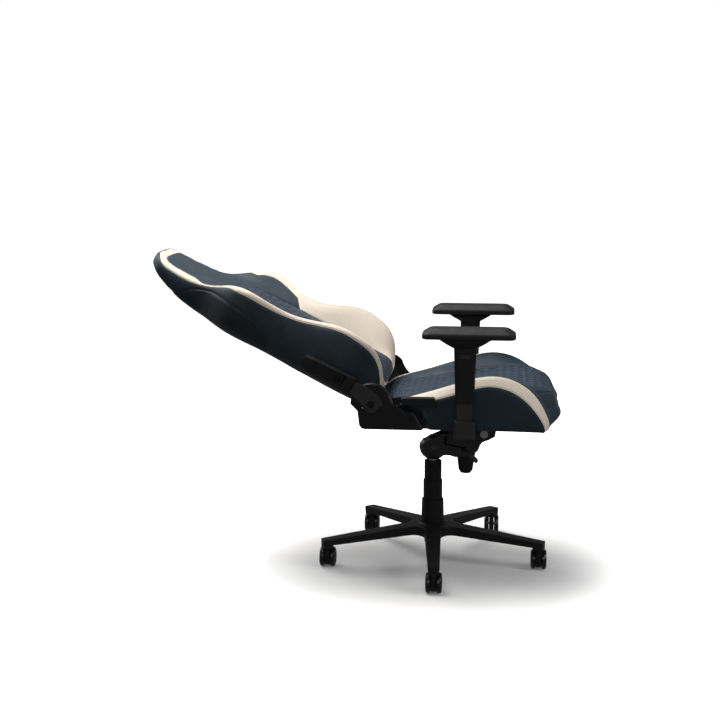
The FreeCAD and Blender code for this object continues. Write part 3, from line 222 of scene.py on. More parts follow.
def inflate(obj, held, cap):
    """Puffs the cover out between the seams that hold it, no further than cap (in mm) at each vertex."""
    rest = coordinates(obj)
    group = obj.vertex_groups.new(name="seams")
    group.add([int(i) for i in np.nonzero(held)[0]], 1.0, "REPLACE")
    cloth = obj.modifiers.new("cloth", "CLOTH")
    s = cloth.settings
    s.use_pressure = True
    s.uniform_pressure_force = 4.0
    s.vertex_group_mass = "seams"
    s.quality = 4
    s.tension_stiffness = s.compression_stiffness = 30
    s.shear_stiffness = 15
    s.bending_stiffness = 2.0
    s.effector_weights.gravity = 0.0
    cloth.collision_settings.use_collision = False
    scene = bpy.context.scene
    for number in range(1, cloth_frames + 1):
        scene.frame_set(number)
    depsgraph = bpy.context.evaluated_depsgraph_get()
    evaluated = obj.evaluated_get(depsgraph)
    moved = np.zeros(len(rest) * 3)
    evaluated.data.vertices.foreach_get("co", moved)
    step = moved.reshape(-1, 3) - rest
    length = np.linalg.norm(step, axis=1)
    allowed = np.asarray(cap) * MM
    limit = allowed * (1 - np.exp(-length / np.maximum(allowed, 1e-6)))
    step *= (limit / np.maximum(length, 1e-9))[:, None]
    obj.modifiers.clear()
    obj.vertex_groups.clear()
    scene.frame_set(1)
    set_coordinates(obj, rest + step)


def subdivide(obj):
    """One level of subdivision, applied."""
    modifier = obj.modifiers.new("subdivision", "SUBSURF")
    modifier.levels = modifier.render_levels = 1
    apply_modifiers(obj)


def press(obj, depth):
    """Moves each vertex inwards along its normal by depth in mm."""
    set_coordinates(obj, coordinates(obj) - vertex_normals(obj) * (np.asarray(depth) * MM)[:, None])


def quilt_axes(along, across):
    """Two numbers that are whole on the two families of quilting lines."""
    return along / quilt_length + across / quilt_width, along / quilt_length - across / quilt_width


def pillow_depth(along, across, height):
    """How far the cover lies below the tops of the diamond pillows."""
    first, second = quilt_axes(along, across)
    crown = np.abs(np.sin(math.pi * first) * np.sin(math.pi * second)) ** 0.7
    return height * (1.0 - crown)


def around(grid, mirrored_half):
    """Distance in mm along each ring from its first point, both ways round to the opposite point."""
    step = np.linalg.norm(np.diff(grid, axis=1, append=grid[:, :1]), axis=2)
    run = np.concatenate([np.zeros((len(grid), 1)), np.cumsum(step, axis=1)[:, :-1]], axis=1)
    back = run[:, :1] + step.sum(axis=1, keepdims=True) - run
    half = np.minimum(run, back)
    half[:, :mirrored_half + 1] = run[:, :mirrored_half + 1]
    return half


def stitches(name, obj, lines):
    """Rows of thread along lines of points in mm, laid on the surface of obj."""
    pitch, length, radius, proud = 6.5 * MM, 4.2 * MM, 0.55 * MM, 0.25 * MM
    thin, sides = 0.45, 5                           # thickness of a stitch's ends, and its sides
    tree = BVHTree.FromPolygons([tuple(c) for c in coordinates(obj)],
                                [tuple(p.vertices) for p in obj.data.polygons])
    verts, faces = [], []
    for line in lines:
        p = np.asarray(line, float) * MM
        run = np.concatenate([[0], np.cumsum(np.linalg.norm(np.diff(p, axis=0), axis=1))])
        for start in np.arange(pitch, run[-1] - pitch, pitch):
            ends = []
            for at in (start, start + length):
                q = Vector([np.interp(at, run, p[:, k]) for k in range(3)])
                hit, normal, _, _ = tree.find_nearest(q)
                ends.append((hit + normal * proud, normal))
            (a, normal), (b, _) = ends
            ahead = (b - a).normalized()
            side = ahead.cross(normal).normalized()
            up = side.cross(ahead).normalized()
            first = len(verts)
            for at, size in ((a, thin), (a.lerp(b, 0.2), 1.0), (a.lerp(b, 0.8), 1.0), (b, thin)):
                for turn in range(sides):
                    t = 2 * math.pi * turn / sides
                    verts.append(at + (side * math.cos(t) + up * math.sin(t)) * radius * size)
            for ring in range(3):
                for turn in range(sides):
                    i = first + ring * sides + turn
                    j = first + ring * sides + (turn + 1) % sides
                    faces.append((i, j, j + sides, i + sides))
            faces.append(tuple(first + k for k in range(sides))[::-1])
            faces.append(tuple(first + 3 * sides + k for k in range(sides)))
    return simple_mesh(name, verts, faces)


# ================================================================ materials
class Material:
    """A node material with helpers for what most surfaces here need."""

    def __init__(self, name):
        self.material = bpy.data.materials.new(name)
        self.material.use_nodes = True
        self.nodes = self.material.node_tree.nodes
        self.links = self.material.node_tree.links
        self.shader = self.nodes["Principled BSDF"]
        self.place = self.nodes.new("ShaderNodeTexCoord").outputs["Object"]

    def socket(self, name, value):
        self.shader.inputs[name].default_value = value

    def link(self, a, b):
        self.links.new(a, b)

    def noise(self, scale, detail=3.0, rough=0.5, stretch=None):
        node = self.nodes.new("ShaderNodeTexNoise")
        node.inputs["Scale"].default_value = scale
        node.inputs["Detail"].default_value = detail
        node.inputs["Roughness"].default_value = rough
        self.link(self.stretched(stretch), node.inputs["Vector"])
        return node.outputs["Fac"]

    def cells(self, scale):
        """Distance to the edge of small irregular cells."""
        node = self.nodes.new("ShaderNodeTexVoronoi")
        node.feature = "DISTANCE_TO_EDGE"
        node.inputs["Scale"].default_value = scale
        self.link(self.place, node.inputs["Vector"])
        return node.outputs["Distance"]

    def stretched(self, stretch):
        if stretch is None:
            return self.place
        node = self.nodes.new("ShaderNodeMapping")
        node.inputs["Scale"].default_value = stretch
        self.link(self.place, node.inputs["Vector"])
        return node.outputs["Vector"]

    def ramp(self, value, low, high, a, b):
        """Maps value from low..high to a..b."""
        node = self.nodes.new("ShaderNodeMapRange")
        node.inputs["From Min"].default_value = low
        node.inputs["From Max"].default_value = high
        node.inputs["To Min"].default_value = a
        node.inputs["To Max"].default_value = b
        self.link(value, node.inputs["Value"])
        return node.outputs["Result"]

    def math(self, operation, a, b):
        node = self.nodes.new("ShaderNodeMath")
        node.operation = operation
        for socket, value in zip(node.inputs, (a, b)):
            if isinstance(value, (int, float)):
                socket.default_value = value
            else:
                self.link(value, socket)
        return node.outputs[0]

    def mix(self, share, a, b):
        """Mixes two colours, each a colour or an output."""
        node = self.nodes.new("ShaderNodeMix")
        node.data_type = "RGBA"
        self.link(share, node.inputs[0])
        for socket, value in ((node.inputs[6], a), (node.inputs[7], b)):
            if isinstance(value, (tuple, list)):
                socket.default_value = (*value, 1.0)
            else:
                self.link(value, socket)
        return node.outputs[2]

    def bump(self, height, distance, strength=1.0, normal=None):
        node = self.nodes.new("ShaderNodeBump")
        node.inputs["Distance"].default_value = distance
        node.inputs["Strength"].default_value = strength
        self.link(height, node.inputs["Height"])
        if normal is not None:
            self.link(normal, node.inputs["Normal"])
        self.link(node.outputs["Normal"], self.shader.inputs["Normal"])
        return node.outputs["Normal"]

    def rounded(self, radius):
        """A normal that rounds sharp edges."""
        node = self.nodes.new("ShaderNodeBevel")
        node.samples = 4
        node.inputs["Radius"].default_value = radius
        self.link(node.outputs["Normal"], self.shader.inputs["Normal"])
        return node.outputs["Normal"]

    def attribute(self, name):
        node = self.nodes.new("ShaderNodeAttribute")
        node.attribute_name = name
        return node.outputs["Fac"]

    def band(self, attribute, soft=0.5):
        """One where the attribute, a distance in mm, is above zero."""
        return self.ramp(self.attribute(attribute), -soft, soft, 0.0, 1.0)

    def darkened(self, colour, share):
        """A colour multiplied by a share."""
        node = self.nodes.new("ShaderNodeVectorMath")
        node.operation = "SCALE"
        self.link(colour, node.inputs[0])
        self.link(share, node.inputs["Scale"])
        return node.outputs["Vector"]

    def colour(self, output):
        self.link(output, self.shader.inputs["Base Color"])

    def roughness(self, output):
        self.link(output, self.shader.inputs["Roughness"])


def tint(colour, factor):
    return tuple(c * factor for c in colour)


def leather(name, areas, base):
    """Synthetic leather: fine cells, soft creases, quilting lines darkened with painted shade, and areas
    of other colours, some of them painted shade.
    """
    m = Material(name)
    cloud = m.noise(9.0, 4.0)
    colour = m.mix(cloud, tint(base, 0.82), tint(base, 1.16))
    for attribute, shade in areas:
        patch = m.mix(cloud, tint(shade, 0.9), tint(shade, 1.08))
        colour = m.mix(m.band(attribute), colour, patch)
    grain = m.cells(620.0)
    pores = m.ramp(grain, 0.0, 0.25, 0.72, 1.0)
    lines = [m.math("PINGPONG", m.attribute(axis), 0.5) for axis in ("quilt_first", "quilt_second")]
    nearest = m.math("MINIMUM", *lines)
    quilted = m.band("quilted")
    # painted shade: the colour is darkened along the quilting lines, standing in for the shade in the sewn
    # grooves
    groove = m.ramp(nearest, 0.012, 0.085, 1.0, 0.0)
    groove = m.math("MULTIPLY", groove, quilted)
    # the pores darken the colour as grain, the quilting grooves darken it as painted shade
    shade = m.math("MULTIPLY", pores, m.ramp(groove, 0.0, 1.0, 1.0, 0.2))
    m.colour(m.darkened(colour, shade))
    m.roughness(m.ramp(m.noise(30.0), 0.3, 0.7, 0.36, 0.5))
    creases = m.bump(m.noise(34.0, 2.0), 0.0012, 0.35)
    creases = m.bump(m.ramp(groove, 0.0, 1.0, 1.0, 0.0), 0.0016, 0.8, creases)
    m.bump(m.ramp(grain, 0.0, 0.3, 0.0, 1.0), 0.00022, 0.6, creases)
    m.socket("Specular IOR Level", 0.22)
    m.socket("Sheen Weight", 0.05)
    return m.material


def moulded(name, base, rough=0.45, grain=1500.0, depth=0.00006, edge=0.0012, coat=0.0,
            specular=0.25):
    """Moulded plastic with a fine spark-eroded texture and slightly rounded edges."""
    m = Material(name)
    m.colour(m.mix(m.noise(14.0), tint(base, 0.85), tint(base, 1.2)))
    m.roughness(m.ramp(m.noise(55.0), 0.3, 0.7, rough - 0.05, rough + 0.07))
    m.bump(m.noise(grain, 2.0), depth, 0.6, m.rounded(edge))
    m.socket("Specular IOR Level", specular)
    m.socket("Coat Weight", coat)
    m.socket("Coat Roughness", 0.2)
    return m.material


def metal(name, base, rough=0.3):
    """Turned or drawn metal with fine marks along one way."""
    m = Material(name)
    marks = m.noise(260.0, 2.0, 0.5, (1.0, 1.0, 30.0))
    m.colour(m.mix(marks, tint(base, 0.8), tint(base, 1.15)))
    m.roughness(m.ramp(marks, 0.3, 0.7, rough - 0.07, rough + 0.1))
    m.bump(marks, 0.00003, 0.5, m.rounded(0.0006))
    m.socket("Metallic", 1.0)
    return m.material


def coated(name, base, rough=0.5):
    """Powder-coated metal: a fine orange peel."""
    m = Material(name)
    m.colour(m.mix(m.noise(20.0), tint(base, 0.85), tint(base, 1.15)))
    m.roughness(m.ramp(m.noise(80.0), 0.3, 0.7, rough - 0.06, rough + 0.06))
    m.bump(m.noise(420.0, 2.0), 0.00012, 0.5, m.rounded(0.001))
    return m.material


def woven(name, base, pitch=1400.0):
    """A coarse plain weave from two crossed waves."""
    m = Material(name)
    heights = []
    for axis in ("X", "Y"):
        wave = m.nodes.new("ShaderNodeTexWave")
        wave.bands_direction = axis
        wave.inputs["Scale"].default_value = pitch / 6.28
        wave.inputs["Distortion"].default_value = 0.4
        m.link(m.place, wave.inputs["Vector"])
        heights.append(wave.outputs["Fac"])
    weave = m.math("MULTIPLY", *heights)
    m.colour(m.mix(weave, tint(base, 0.6), tint(base, 1.3)))
    m.bump(weave, 0.0003, 0.7)
    m.socket("Roughness", 0.9)
    return m.material


def thread(name, colour):
    """Twisted sewing thread."""
    m = Material(name)
    m.colour(m.mix(m.noise(900.0), tint(colour, 0.7), tint(colour, 1.2)))
    m.bump(m.noise(2500.0, 1.0), 0.0001, 0.6)
    m.socket("Roughness", 0.75)
    return m.material


navy = (0.0165, 0.034, 0.052)
navy_bright = (0.0165, 0.036, 0.064)
# painted shade: the navy darkened for the outer sides, which face away from the light
navy_painted_shade = (0.0145, 0.0255, 0.037)
charcoal = (0.0085, 0.0145, 0.021)
cream = (0.84, 0.74, 0.62)
black = (0.0045, 0.0045, 0.005)

slot_materials = {
    "base_nylon": moulded("nylon_base", (0.006, 0.006, 0.0064), 0.42, 900.0, 0.00008, 0.003),
    "caster_nylon": moulded("nylon_caster", (0.006, 0.006, 0.0065), 0.4),
    "wheel_nylon": moulded("nylon_wheel", (0.005, 0.005, 0.0055), 0.24, 1200.0, 0.00003, 0.0012, 0.3),
    "black_steel": coated("powder_coat", (0.0045, 0.0045, 0.005)),
    "bush_nylon": moulded("bush_plastic", (0.012, 0.012, 0.012), 0.5),
    "bright_steel": metal("ground_steel", (0.52, 0.53, 0.55), 0.22),
    "bearing_steel": metal("turned_steel", (0.35, 0.35, 0.37), 0.3),
    "cover_plastic": moulded("cover_plastic", (0.0035, 0.0035, 0.0038), 0.4, 1600.0, 0.00004, 0.0008),
    "cast_housing": coated("cast_housing", (0.0035, 0.0035, 0.004), 0.36),
    "spring_steel": metal("spring_steel", (0.05, 0.05, 0.055), 0.4),
    "knob_plastic": moulded("knob_plastic", (0.006, 0.006, 0.0065), 0.38),
    "lever_finish": moulded("lever_plastic", (0.006, 0.006, 0.0065), 0.36, 1500.0, 0.00005, 0.0015),
    "bolt_zinc": metal("black_oxide", (0.018, 0.018, 0.019), 0.42),
    "belt_webbing": woven("webbing", (0.03, 0.03, 0.03)),
    "dust_fabric": woven("lining", (0.008, 0.008, 0.009), 2600.0),
    "grip_plastic": moulded("grip_plastic", (0.004, 0.004, 0.0043), 0.42),
    "trim_plastic": moulded("trim_plastic", (0.0035, 0.0036, 0.0038), 0.4, 1300.0, 0.00008, 0.002),
    "arm_plastic": moulded("arm_plastic", (0.004, 0.004, 0.0043), 0.4, 1400.0, 0.00006, 0.0015),
    "button_plastic": moulded("button_plastic", (0.02, 0.02, 0.021), 0.4),
    "pad_soft": moulded("soft_pad", (0.010, 0.0102, 0.0108), 0.55, 520.0, 0.00012, 0.002, specular=0.2),
}
thread_dark = thread("thread_dark", (0.16, 0.13, 0.10))
thread_navy = thread("thread_navy", (0.05, 0.075, 0.12))
slot_of = {row["node"]: row["material_slot"] for row in frame["record"]["subparts"]}
for node, obj in frame["nodes"].items():
    material = slot_materials.get(slot_of[node])
    if material is not None:
        obj.data.materials.clear()
        obj.data.materials.append(material)


# ================================================================ the backrest's upholstery
def back_ring(row):
    """One section: (v, w) round from the front centre line, with side +1 first."""
    u, rear_w, rear_v, out_w, out_v, crest_w, crest_v, mid_w, mid_v, v0 = row
    half = [
        (0.35 * mid_v + 0.65 * v0, mid_w * 0.5),
        (mid_v, mid_w),
        (crest_v - 0.5 * (crest_v - mid_v), mid_w + 0.42 * (crest_w - mid_w)),
        (crest_v, crest_w),
        (crest_v - 0.32 * (crest_v - out_v), crest_w + 0.75 * (out_w - crest_w)),
        (out_v, out_w),
        (rear_v + 0.35 * (out_v - rear_v), out_w - 0.22 * (out_w - rear_w)),
        (rear_v, rear_w),
        (rear_v, rear_w * 0.5),
    ]
    points = [(v0, 0)] + half + [(rear_v, 0)] + [(v, -w) for v, w in half[::-1]]
    return closed_spline(points, back_samples + back_samples[::-1])


def place_back(v, y, u):
    """Points of the backrest's own axes in the chair's, in mm."""
    v, y, u = np.broadcast_arrays(v, y, u)
    return pivot + v[..., None] * along_v + u[..., None] * along_u + y[..., None] * np.array([0, 1, 0])


# where each point of a ring is: 0 front centre line, 1 half way, 2 edge of the centre panel, 4 crest,
# 6 outer side, 8 rear edge, 10 rear centre line
section_a = np.concatenate([k + np.linspace(0, 1, n, endpoint=False) for k, n in enumerate(back_samples)])
section_a = np.concatenate([section_a, [10.0], section_a[:0:-1]])


def back_grid():
    """Rings of the backrest in its own axes (v, y, u), with crowned ends."""
    low, high = back_stations[0, 0], back_stations[-1, 0]
    us = np.linspace(low + 2, high - 3, int((high - low) / back_ring_step))
    rows = spline(back_stations[:, 0], back_stations, us)
    shell = 2.5                                     # the cover starts this far inside and is puffed out
    rings = []
    for u, row in zip(us, rows):
        section = back_ring(row)
        middle = section.mean(axis=0)
        reach = np.linalg.norm(section - middle, axis=1, keepdims=True)
        section = section + (middle - section) / reach * shell
        rings.append(np.column_stack([section[:, 0], section[:, 1], np.full(len(section), u)]))
    first, last = rings[0], rings[-1]
    start = [shrunk(first, size, -rise) for size, rise in ((0.25, 6.0), (0.6, 5.0), (0.88, 2.5))]
    end = [shrunk(last, size, rise) for size, rise in ((0.9, 3.5), (0.62, 6.0), (0.3, 7.5))]
    return np.array(start + rings + end)


def shrunk(ring, size, rise):
    """A smaller copy of a ring, moved along the backrest."""
    middle = ring.mean(axis=0)
    out = middle + (ring - middle) * size
    out[:, 2] = ring[:, 2] + rise
    return out


def strip_inner(u):
    """Width in mm of the cream strip inside the crest."""
    return 36.0 + 8.0 * smooth(380, 430, u) - 38.0 * smooth(505, 545, u)


def strip_outer(u):
    """Width in mm of the cream strip outside the crest."""
    return 15.0 - 11.0 * smooth(470, 535, u) + 6.0 * smooth(596, 650, u)


def back_cream(u, from_mid, from_crest):
    """Distance in mm inside the cream areas of the backrest."""
    lumbar_top, lumbar_rise, wing_top = 336.0, 0.62, 560.0
    arc = lumbar_top + lumbar_rise * np.clip(from_mid, 0, 110) - u
    lumbar = np.minimum(from_mid, arc)
    inside = np.maximum(from_crest + strip_inner(u), lumbar)
    wings = np.minimum(np.minimum(inside, strip_outer(u) - from_crest), wing_top - u)
    top = back_stations[-1, 0] - 3.0
    corner = 62.0
    edge, end = -from_crest, top - u
    near_corner = (edge < corner) & (end < corner)
    rounded = corner - np.hypot(corner - edge, corner - end)
    depth = np.where(near_corner, rounded, np.minimum(edge, end))
    head_low = 530.0                                # the band round the headrest starts here
    width = 4.0 + 23.0 * smooth(596, 640, u)
    band = np.minimum(width - depth, np.minimum(strip_outer(u) + depth, end))
    return np.maximum(wings, np.minimum(band, u - head_low))


def arch_height(u):
    """How far forward the arch sewn into the backrest's side reaches, in mm along v."""
    along = [325, 335, 345, 354, 375, 400, 424, 470, 517, 560, 587, 620, 647, 672]
    ahead = [-70, -34, -10, 8, 36, 51, 58, 64, 63, 57, 49, 33, 13, -8]
    return np.interp(u, along, ahead)


def groove(distance, width):
    """The shape of a sewn seam: 1 on the seam, falling to 0 at about twice the width."""
    return np.exp(-(distance / width) ** 2)


def make_backrest():
    """The backrest's cover, with its seams, quilting and colour areas, painted shade on its outer sides
    among them.
    """
    rings = back_grid()
    count, size = rings.shape[:2]
    placed = place_back(rings[..., 0], rings[..., 1], rings[..., 2])
    obj = grid_mesh("backrest_cover", placed)
    half = size // 2
    reach = around(placed, half)
    columns = [int(np.argmin(np.abs(section_a[:half + 1] - place))) for place in (2.0, 4.0, 8.0)]
    a = np.tile(section_a, count)
    u = rings[..., 2].ravel()
    marks = dict(zip(("from_mid", "from_crest", "from_rear"), columns))
    write_values(obj, "height", u)
    for name, column in marks.items():
        write_values(obj, name, (reach - reach[:, column:column + 1]).ravel())
    seam = np.isin(np.tile(np.arange(size), count), columns + [size - c for c in columns])
    ends = np.zeros((count, size), bool)
    ends[:3] = ends[-3:] = True
    cap = np.select([a < 2, a < 4, a < 8], [3.0, 8.0, 3.0], 3.0)
    cap = np.where((a > 4) & (a < 8) & (u < 270), 1.0, cap)
    cap = np.where(u < 40, np.minimum(cap, 3.0), cap)
    inflate(obj, seam | ends.ravel(), cap)
    base = coordinates(obj).reshape(count, size, 3) / MM
    subdivide(obj)
    u, mid, crest, rear = (read_values(obj, name)
                           for name in ("height", "from_mid", "from_crest", "from_rear"))
    local = coordinates(obj) / MM - pivot
    w, v = local[:, 1], local @ along_v

    cream_in = back_cream(u, mid, crest)
    side_arc = arch_height(u) - v
    slope = (arch_height(u + 1.0) - arch_height(u - 1.0)) / 2.0
    side_arc = side_arc / np.sqrt(1.0 + slope**2)
    on_side = smooth(14, 18, crest) * smooth(-2, -6, rear) * smooth(326, 334, u)
    panel = smooth(-3.5, -7.5, mid) * smooth(522, 512, u) * smooth(-6, 2, u)
    quilt_end = 522.0 - 0.002 * w**2                # u of the seam across the top of the quilting
    depth = 2.6 * groove(mid, 3.2) * smooth(560, 520, u)
    depth += 1.5 * groove(cream_in, 2.2)
    depth += panel * (pillow_depth(u, w, 3.2) - 1.2)
    depth += 2.0 * groove(u - quilt_end, 2.8) * smooth(2, -2, mid)
    depth += on_side * 2.6 * groove(side_arc, 3.0)
    depth += 1.8 * groove(rear, 3.0)
    press(obj, depth)

    first, second = quilt_axes(u, w)
    write_values(obj, "quilt_first", first)
    write_values(obj, "quilt_second", second)
    write_values(obj, "creamy", cream_in)
    write_values(obj, "quilted", np.minimum(-3.0 - mid, quilt_end - 4.0 - u))
    # painted shade: beyond the crest the outer side is coloured a darker navy for the shade it lies in
    write_values(obj, "shaded", crest - 4.0)
    # the sewn panel inside the arch on the outer side: a darker panel, its charcoal also carrying painted
    # shade like the rest of the outer side
    beside = (crest > 15) & (u > 325) & (u < 672)
    write_values(obj, "arch_panel_and_shade", np.where(beside, side_arc, -20.0))
    write_values(obj, "rear_cloth", rear)
    obj.data.materials.append(leather("upholstery_back", [
        ("quilted", navy_bright), ("shaded", navy_painted_shade), ("arch_panel_and_shade", charcoal),
        ("rear_cloth", charcoal), ("creamy", cream)], navy))
    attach(obj, "back")
    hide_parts("back_cushion")
    return obj, base, rings[:, 0, 2], marks


def line_on(grid, column, offsets, side):
    """A line over the rings of a grid, at an offset in mm from one column of each ring."""
    size = grid.shape[1]
    half = size // 2
    order = np.arange(half + 1) if side > 0 else (size - np.arange(half + 1)) % size
    line = []
    for ring, offset in zip(grid, offsets):
        if np.isnan(offset):
            continue
        p = ring[order]
        run = np.concatenate([[0], np.cumsum(np.linalg.norm(np.diff(p, axis=0), axis=1))])
        at = run[column] + offset
        line.append([np.interp(at, run, p[:, k]) for k in range(3)])
    return line


def sew(cover, body, name, light_lines, navy_lines):
    """The rows of thread on a cover, in two colours."""
    for shade, lines, material in (("light", light_lines, thread_dark), ("navy", navy_lines, thread_navy)):
        row = stitches(f"{name}_thread_{shade}", cover, lines)
        row.data.materials.append(material)
        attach(row, body)


backrest, back_base, back_u, back_marks = make_backrest()


def back_line(mark, offset, side, low, high):
    """A line up the backrest, at an offset in mm from one of its marked columns."""
    offsets = np.where((back_u > low) & (back_u < high), offset, np.nan)
    return line_on(back_base, back_marks[mark], offsets, side)


cream_lines, navy_lines = [], []
for side in (-1, 1):
    cream_lines.append(back_line("from_crest", -11.0, side, 14, 372))
    cream_lines.append(back_line("from_crest", strip_outer(back_u) - 3.0, side, 14, 500))
    cream_lines.append(back_line("from_crest", 3.0 - strip_inner(back_u), side, 400, 500))
    navy_lines.append(back_line("from_crest", strip_outer(back_u) + 4.0, side, 14, 640))
    navy_lines.append(back_line("from_mid", -5.0, side, 14, 512))
    navy_lines.append(back_line("from_mid", 5.0, side, 350, 512))
    cream_lines.append(back_line("from_crest", -23.0, side, 645, 725))
sew(backrest, "back", "backrest", cream_lines, navy_lines)


# ================================================================ the seat's upholstery
def seat_profiles(ys):
    """Control points of the top profile at several distances from the middle."""
    middle, crest, edge = (np.array(p, float) for p in (seat_middle, seat_crest, seat_edge))
    table = []
    for y, to_crest, to_edge in seat_rows:
        p = middle + to_crest * (crest - middle)
        table.append(p + to_edge * (edge - p))
    table = np.array(table)
    y = np.array([r[0] for r in seat_rows])
    both_y = np.concatenate([-y[:0:-1], y])
    both = np.concatenate([table[:0:-1], table])
    return spline(both_y, both.reshape(len(both_y), -1), ys).reshape(len(ys), -1, 2)


def inside_cover(x, z):
    """Distance in mm inside the outline of the recliner's side cover, about."""
    round_top = 62.0 - np.hypot(x - pivot[0], z - pivot[2])
    curl = np.hypot(x + 38.0, z - 577.0) - 60.0
    front = -(x + 16.0) + 0.55 * (492.0 - z)
    below_pivot = pivot[2] - z
    low = np.minimum(np.minimum(curl, front), below_pivot)
    return np.maximum(round_top, np.where(x < -84, below_pivot, low))


def beside_recliners(rings):
    """The seat's half widths drawn in where its sides pass the recliners and the lever."""
    full, at_lever, at_recliner, fixed = 261.0, 256.0, 242.5, 200.0
    x, y, z = rings[..., 0], rings[..., 1], rings[..., 2]
    behind = smooth(-3.0, 3.0, inside_cover(x, z))
    reach = full + (at_lever - full) * smooth(6, -14, x) * smooth(500, 515, z)
    reach = reach + (at_recliner - reach) * np.maximum(behind, smooth(-84, -96, x))
    beyond = np.clip(np.abs(y) - fixed, 0, None)
    width = np.minimum(np.abs(y), fixed) + beyond * (reach - fixed) / (edge_y - fixed)
    return np.sign(y) * width


def ahead_of_front_seam(rings):
    """Distance in mm along each lengthwise line of the grid from the seam across the seat's nose."""
    run = np.concatenate([np.zeros((1, rings.shape[1])),
                          np.cumsum(np.linalg.norm(np.diff(rings, axis=0), axis=2), axis=0)])
    out = np.zeros(rings.shape[:2])
    seam_front, bend_y = 366.0, 130.0
    for j in range(rings.shape[1]):
        side = abs(rings[len(rings) // 2, j, 1])
        beyond = max(side - bend_y, 0.0)
        seam_x = seam_front - 16.0 * (side / bend_y) ** 2 - 30.0 * (beyond / 70.0) ** 2
        x = rings[:, j, 0]
        k = int(np.argmax(x >= seam_x))
        part = (seam_x - x[k - 1]) / (x[k] - x[k - 1])
        at = run[k - 1, j] + part * (run[k, j] - run[k - 1, j])
        out[:, j] = run[:, j] - at if k > 0 else -200.0
    return out


def seat_grid():
    """Rings across the seat from its rear to its front, and where each point of a ring is: 0 centre
    line, 1 edge of the quilting, 2 crest, 3 edge, 4 hem, 5 centre line underneath."""
    steps, edge_steps = (32, 12), 7
    top_y = np.concatenate([np.linspace(0, quilt_y, steps[0], endpoint=False),
                            np.linspace(quilt_y, crest_y, steps[1], endpoint=False),
                            np.linspace(crest_y, edge_y, edge_steps)])
    top_b = np.concatenate([np.linspace(0, 1, steps[0], endpoint=False),
                            np.linspace(1, 2, steps[1], endpoint=False), np.linspace(2, 3, edge_steps)])
    counts = [2, 4, 6, 8, 12, 14, 13, 12, 11, 10, 9, 10, 6, 5]      # points between the profile's corners
    lines = []
    for control in seat_profiles(top_y):
        chord = np.concatenate([[0], np.cumsum(np.linalg.norm(np.diff(control, axis=0), axis=1) ** 0.75)])
        at = np.concatenate([np.linspace(chord[k], chord[k + 1], n, endpoint=False)
                             for k, n in enumerate(counts)] + [chord[-1:]])
        lines.append(spline(chord, control, at))
    lines = np.array(lines)                           # (across, along, xz)
    side_t = np.arange(1, 12) / 11
    under_t = np.arange(1, 15) / 14
    foot_rear, foot_front, middle_rear, middle_front = -176.0, 327.0, -178.0, 350.0
    hem_y = edge_y - 3.5
    rings = []
    for k in range(lines.shape[1]):
        ring = [(x, y, z) for y, (x, z) in zip(top_y, lines[:, k])]
        share = k / (lines.shape[1] - 1)
        ex, _, ez = ring[-1]
        foot_x = np.interp(share, [0, 1], [foot_rear, foot_front])
        foot_x = 0.35 * foot_x + 0.65 * min(ex, foot_front)
        ring += [(ex + (foot_x - ex) * t, edge_y - 0.5 - 3.0 * t**4, ez + (seat_bottom - ez) * t)
                 for t in side_t]
        middle_x = np.interp(share, [0, 1], [middle_rear, middle_front])
        ring += [(foot_x + (middle_x - foot_x) * t, hem_y * (1 - t), seat_bottom) for t in under_t]
        half = np.array(ring)
        rings.append(np.vstack([half, half[1:-1][::-1] * [1, -1, 1]]))
    b = np.concatenate([top_b, 3 + side_t, 4 + under_t])
    rings = np.array(rings)
    rings[..., 1] = beside_recliners(rings)
    return rings, np.concatenate([b, b[1:-1][::-1]])


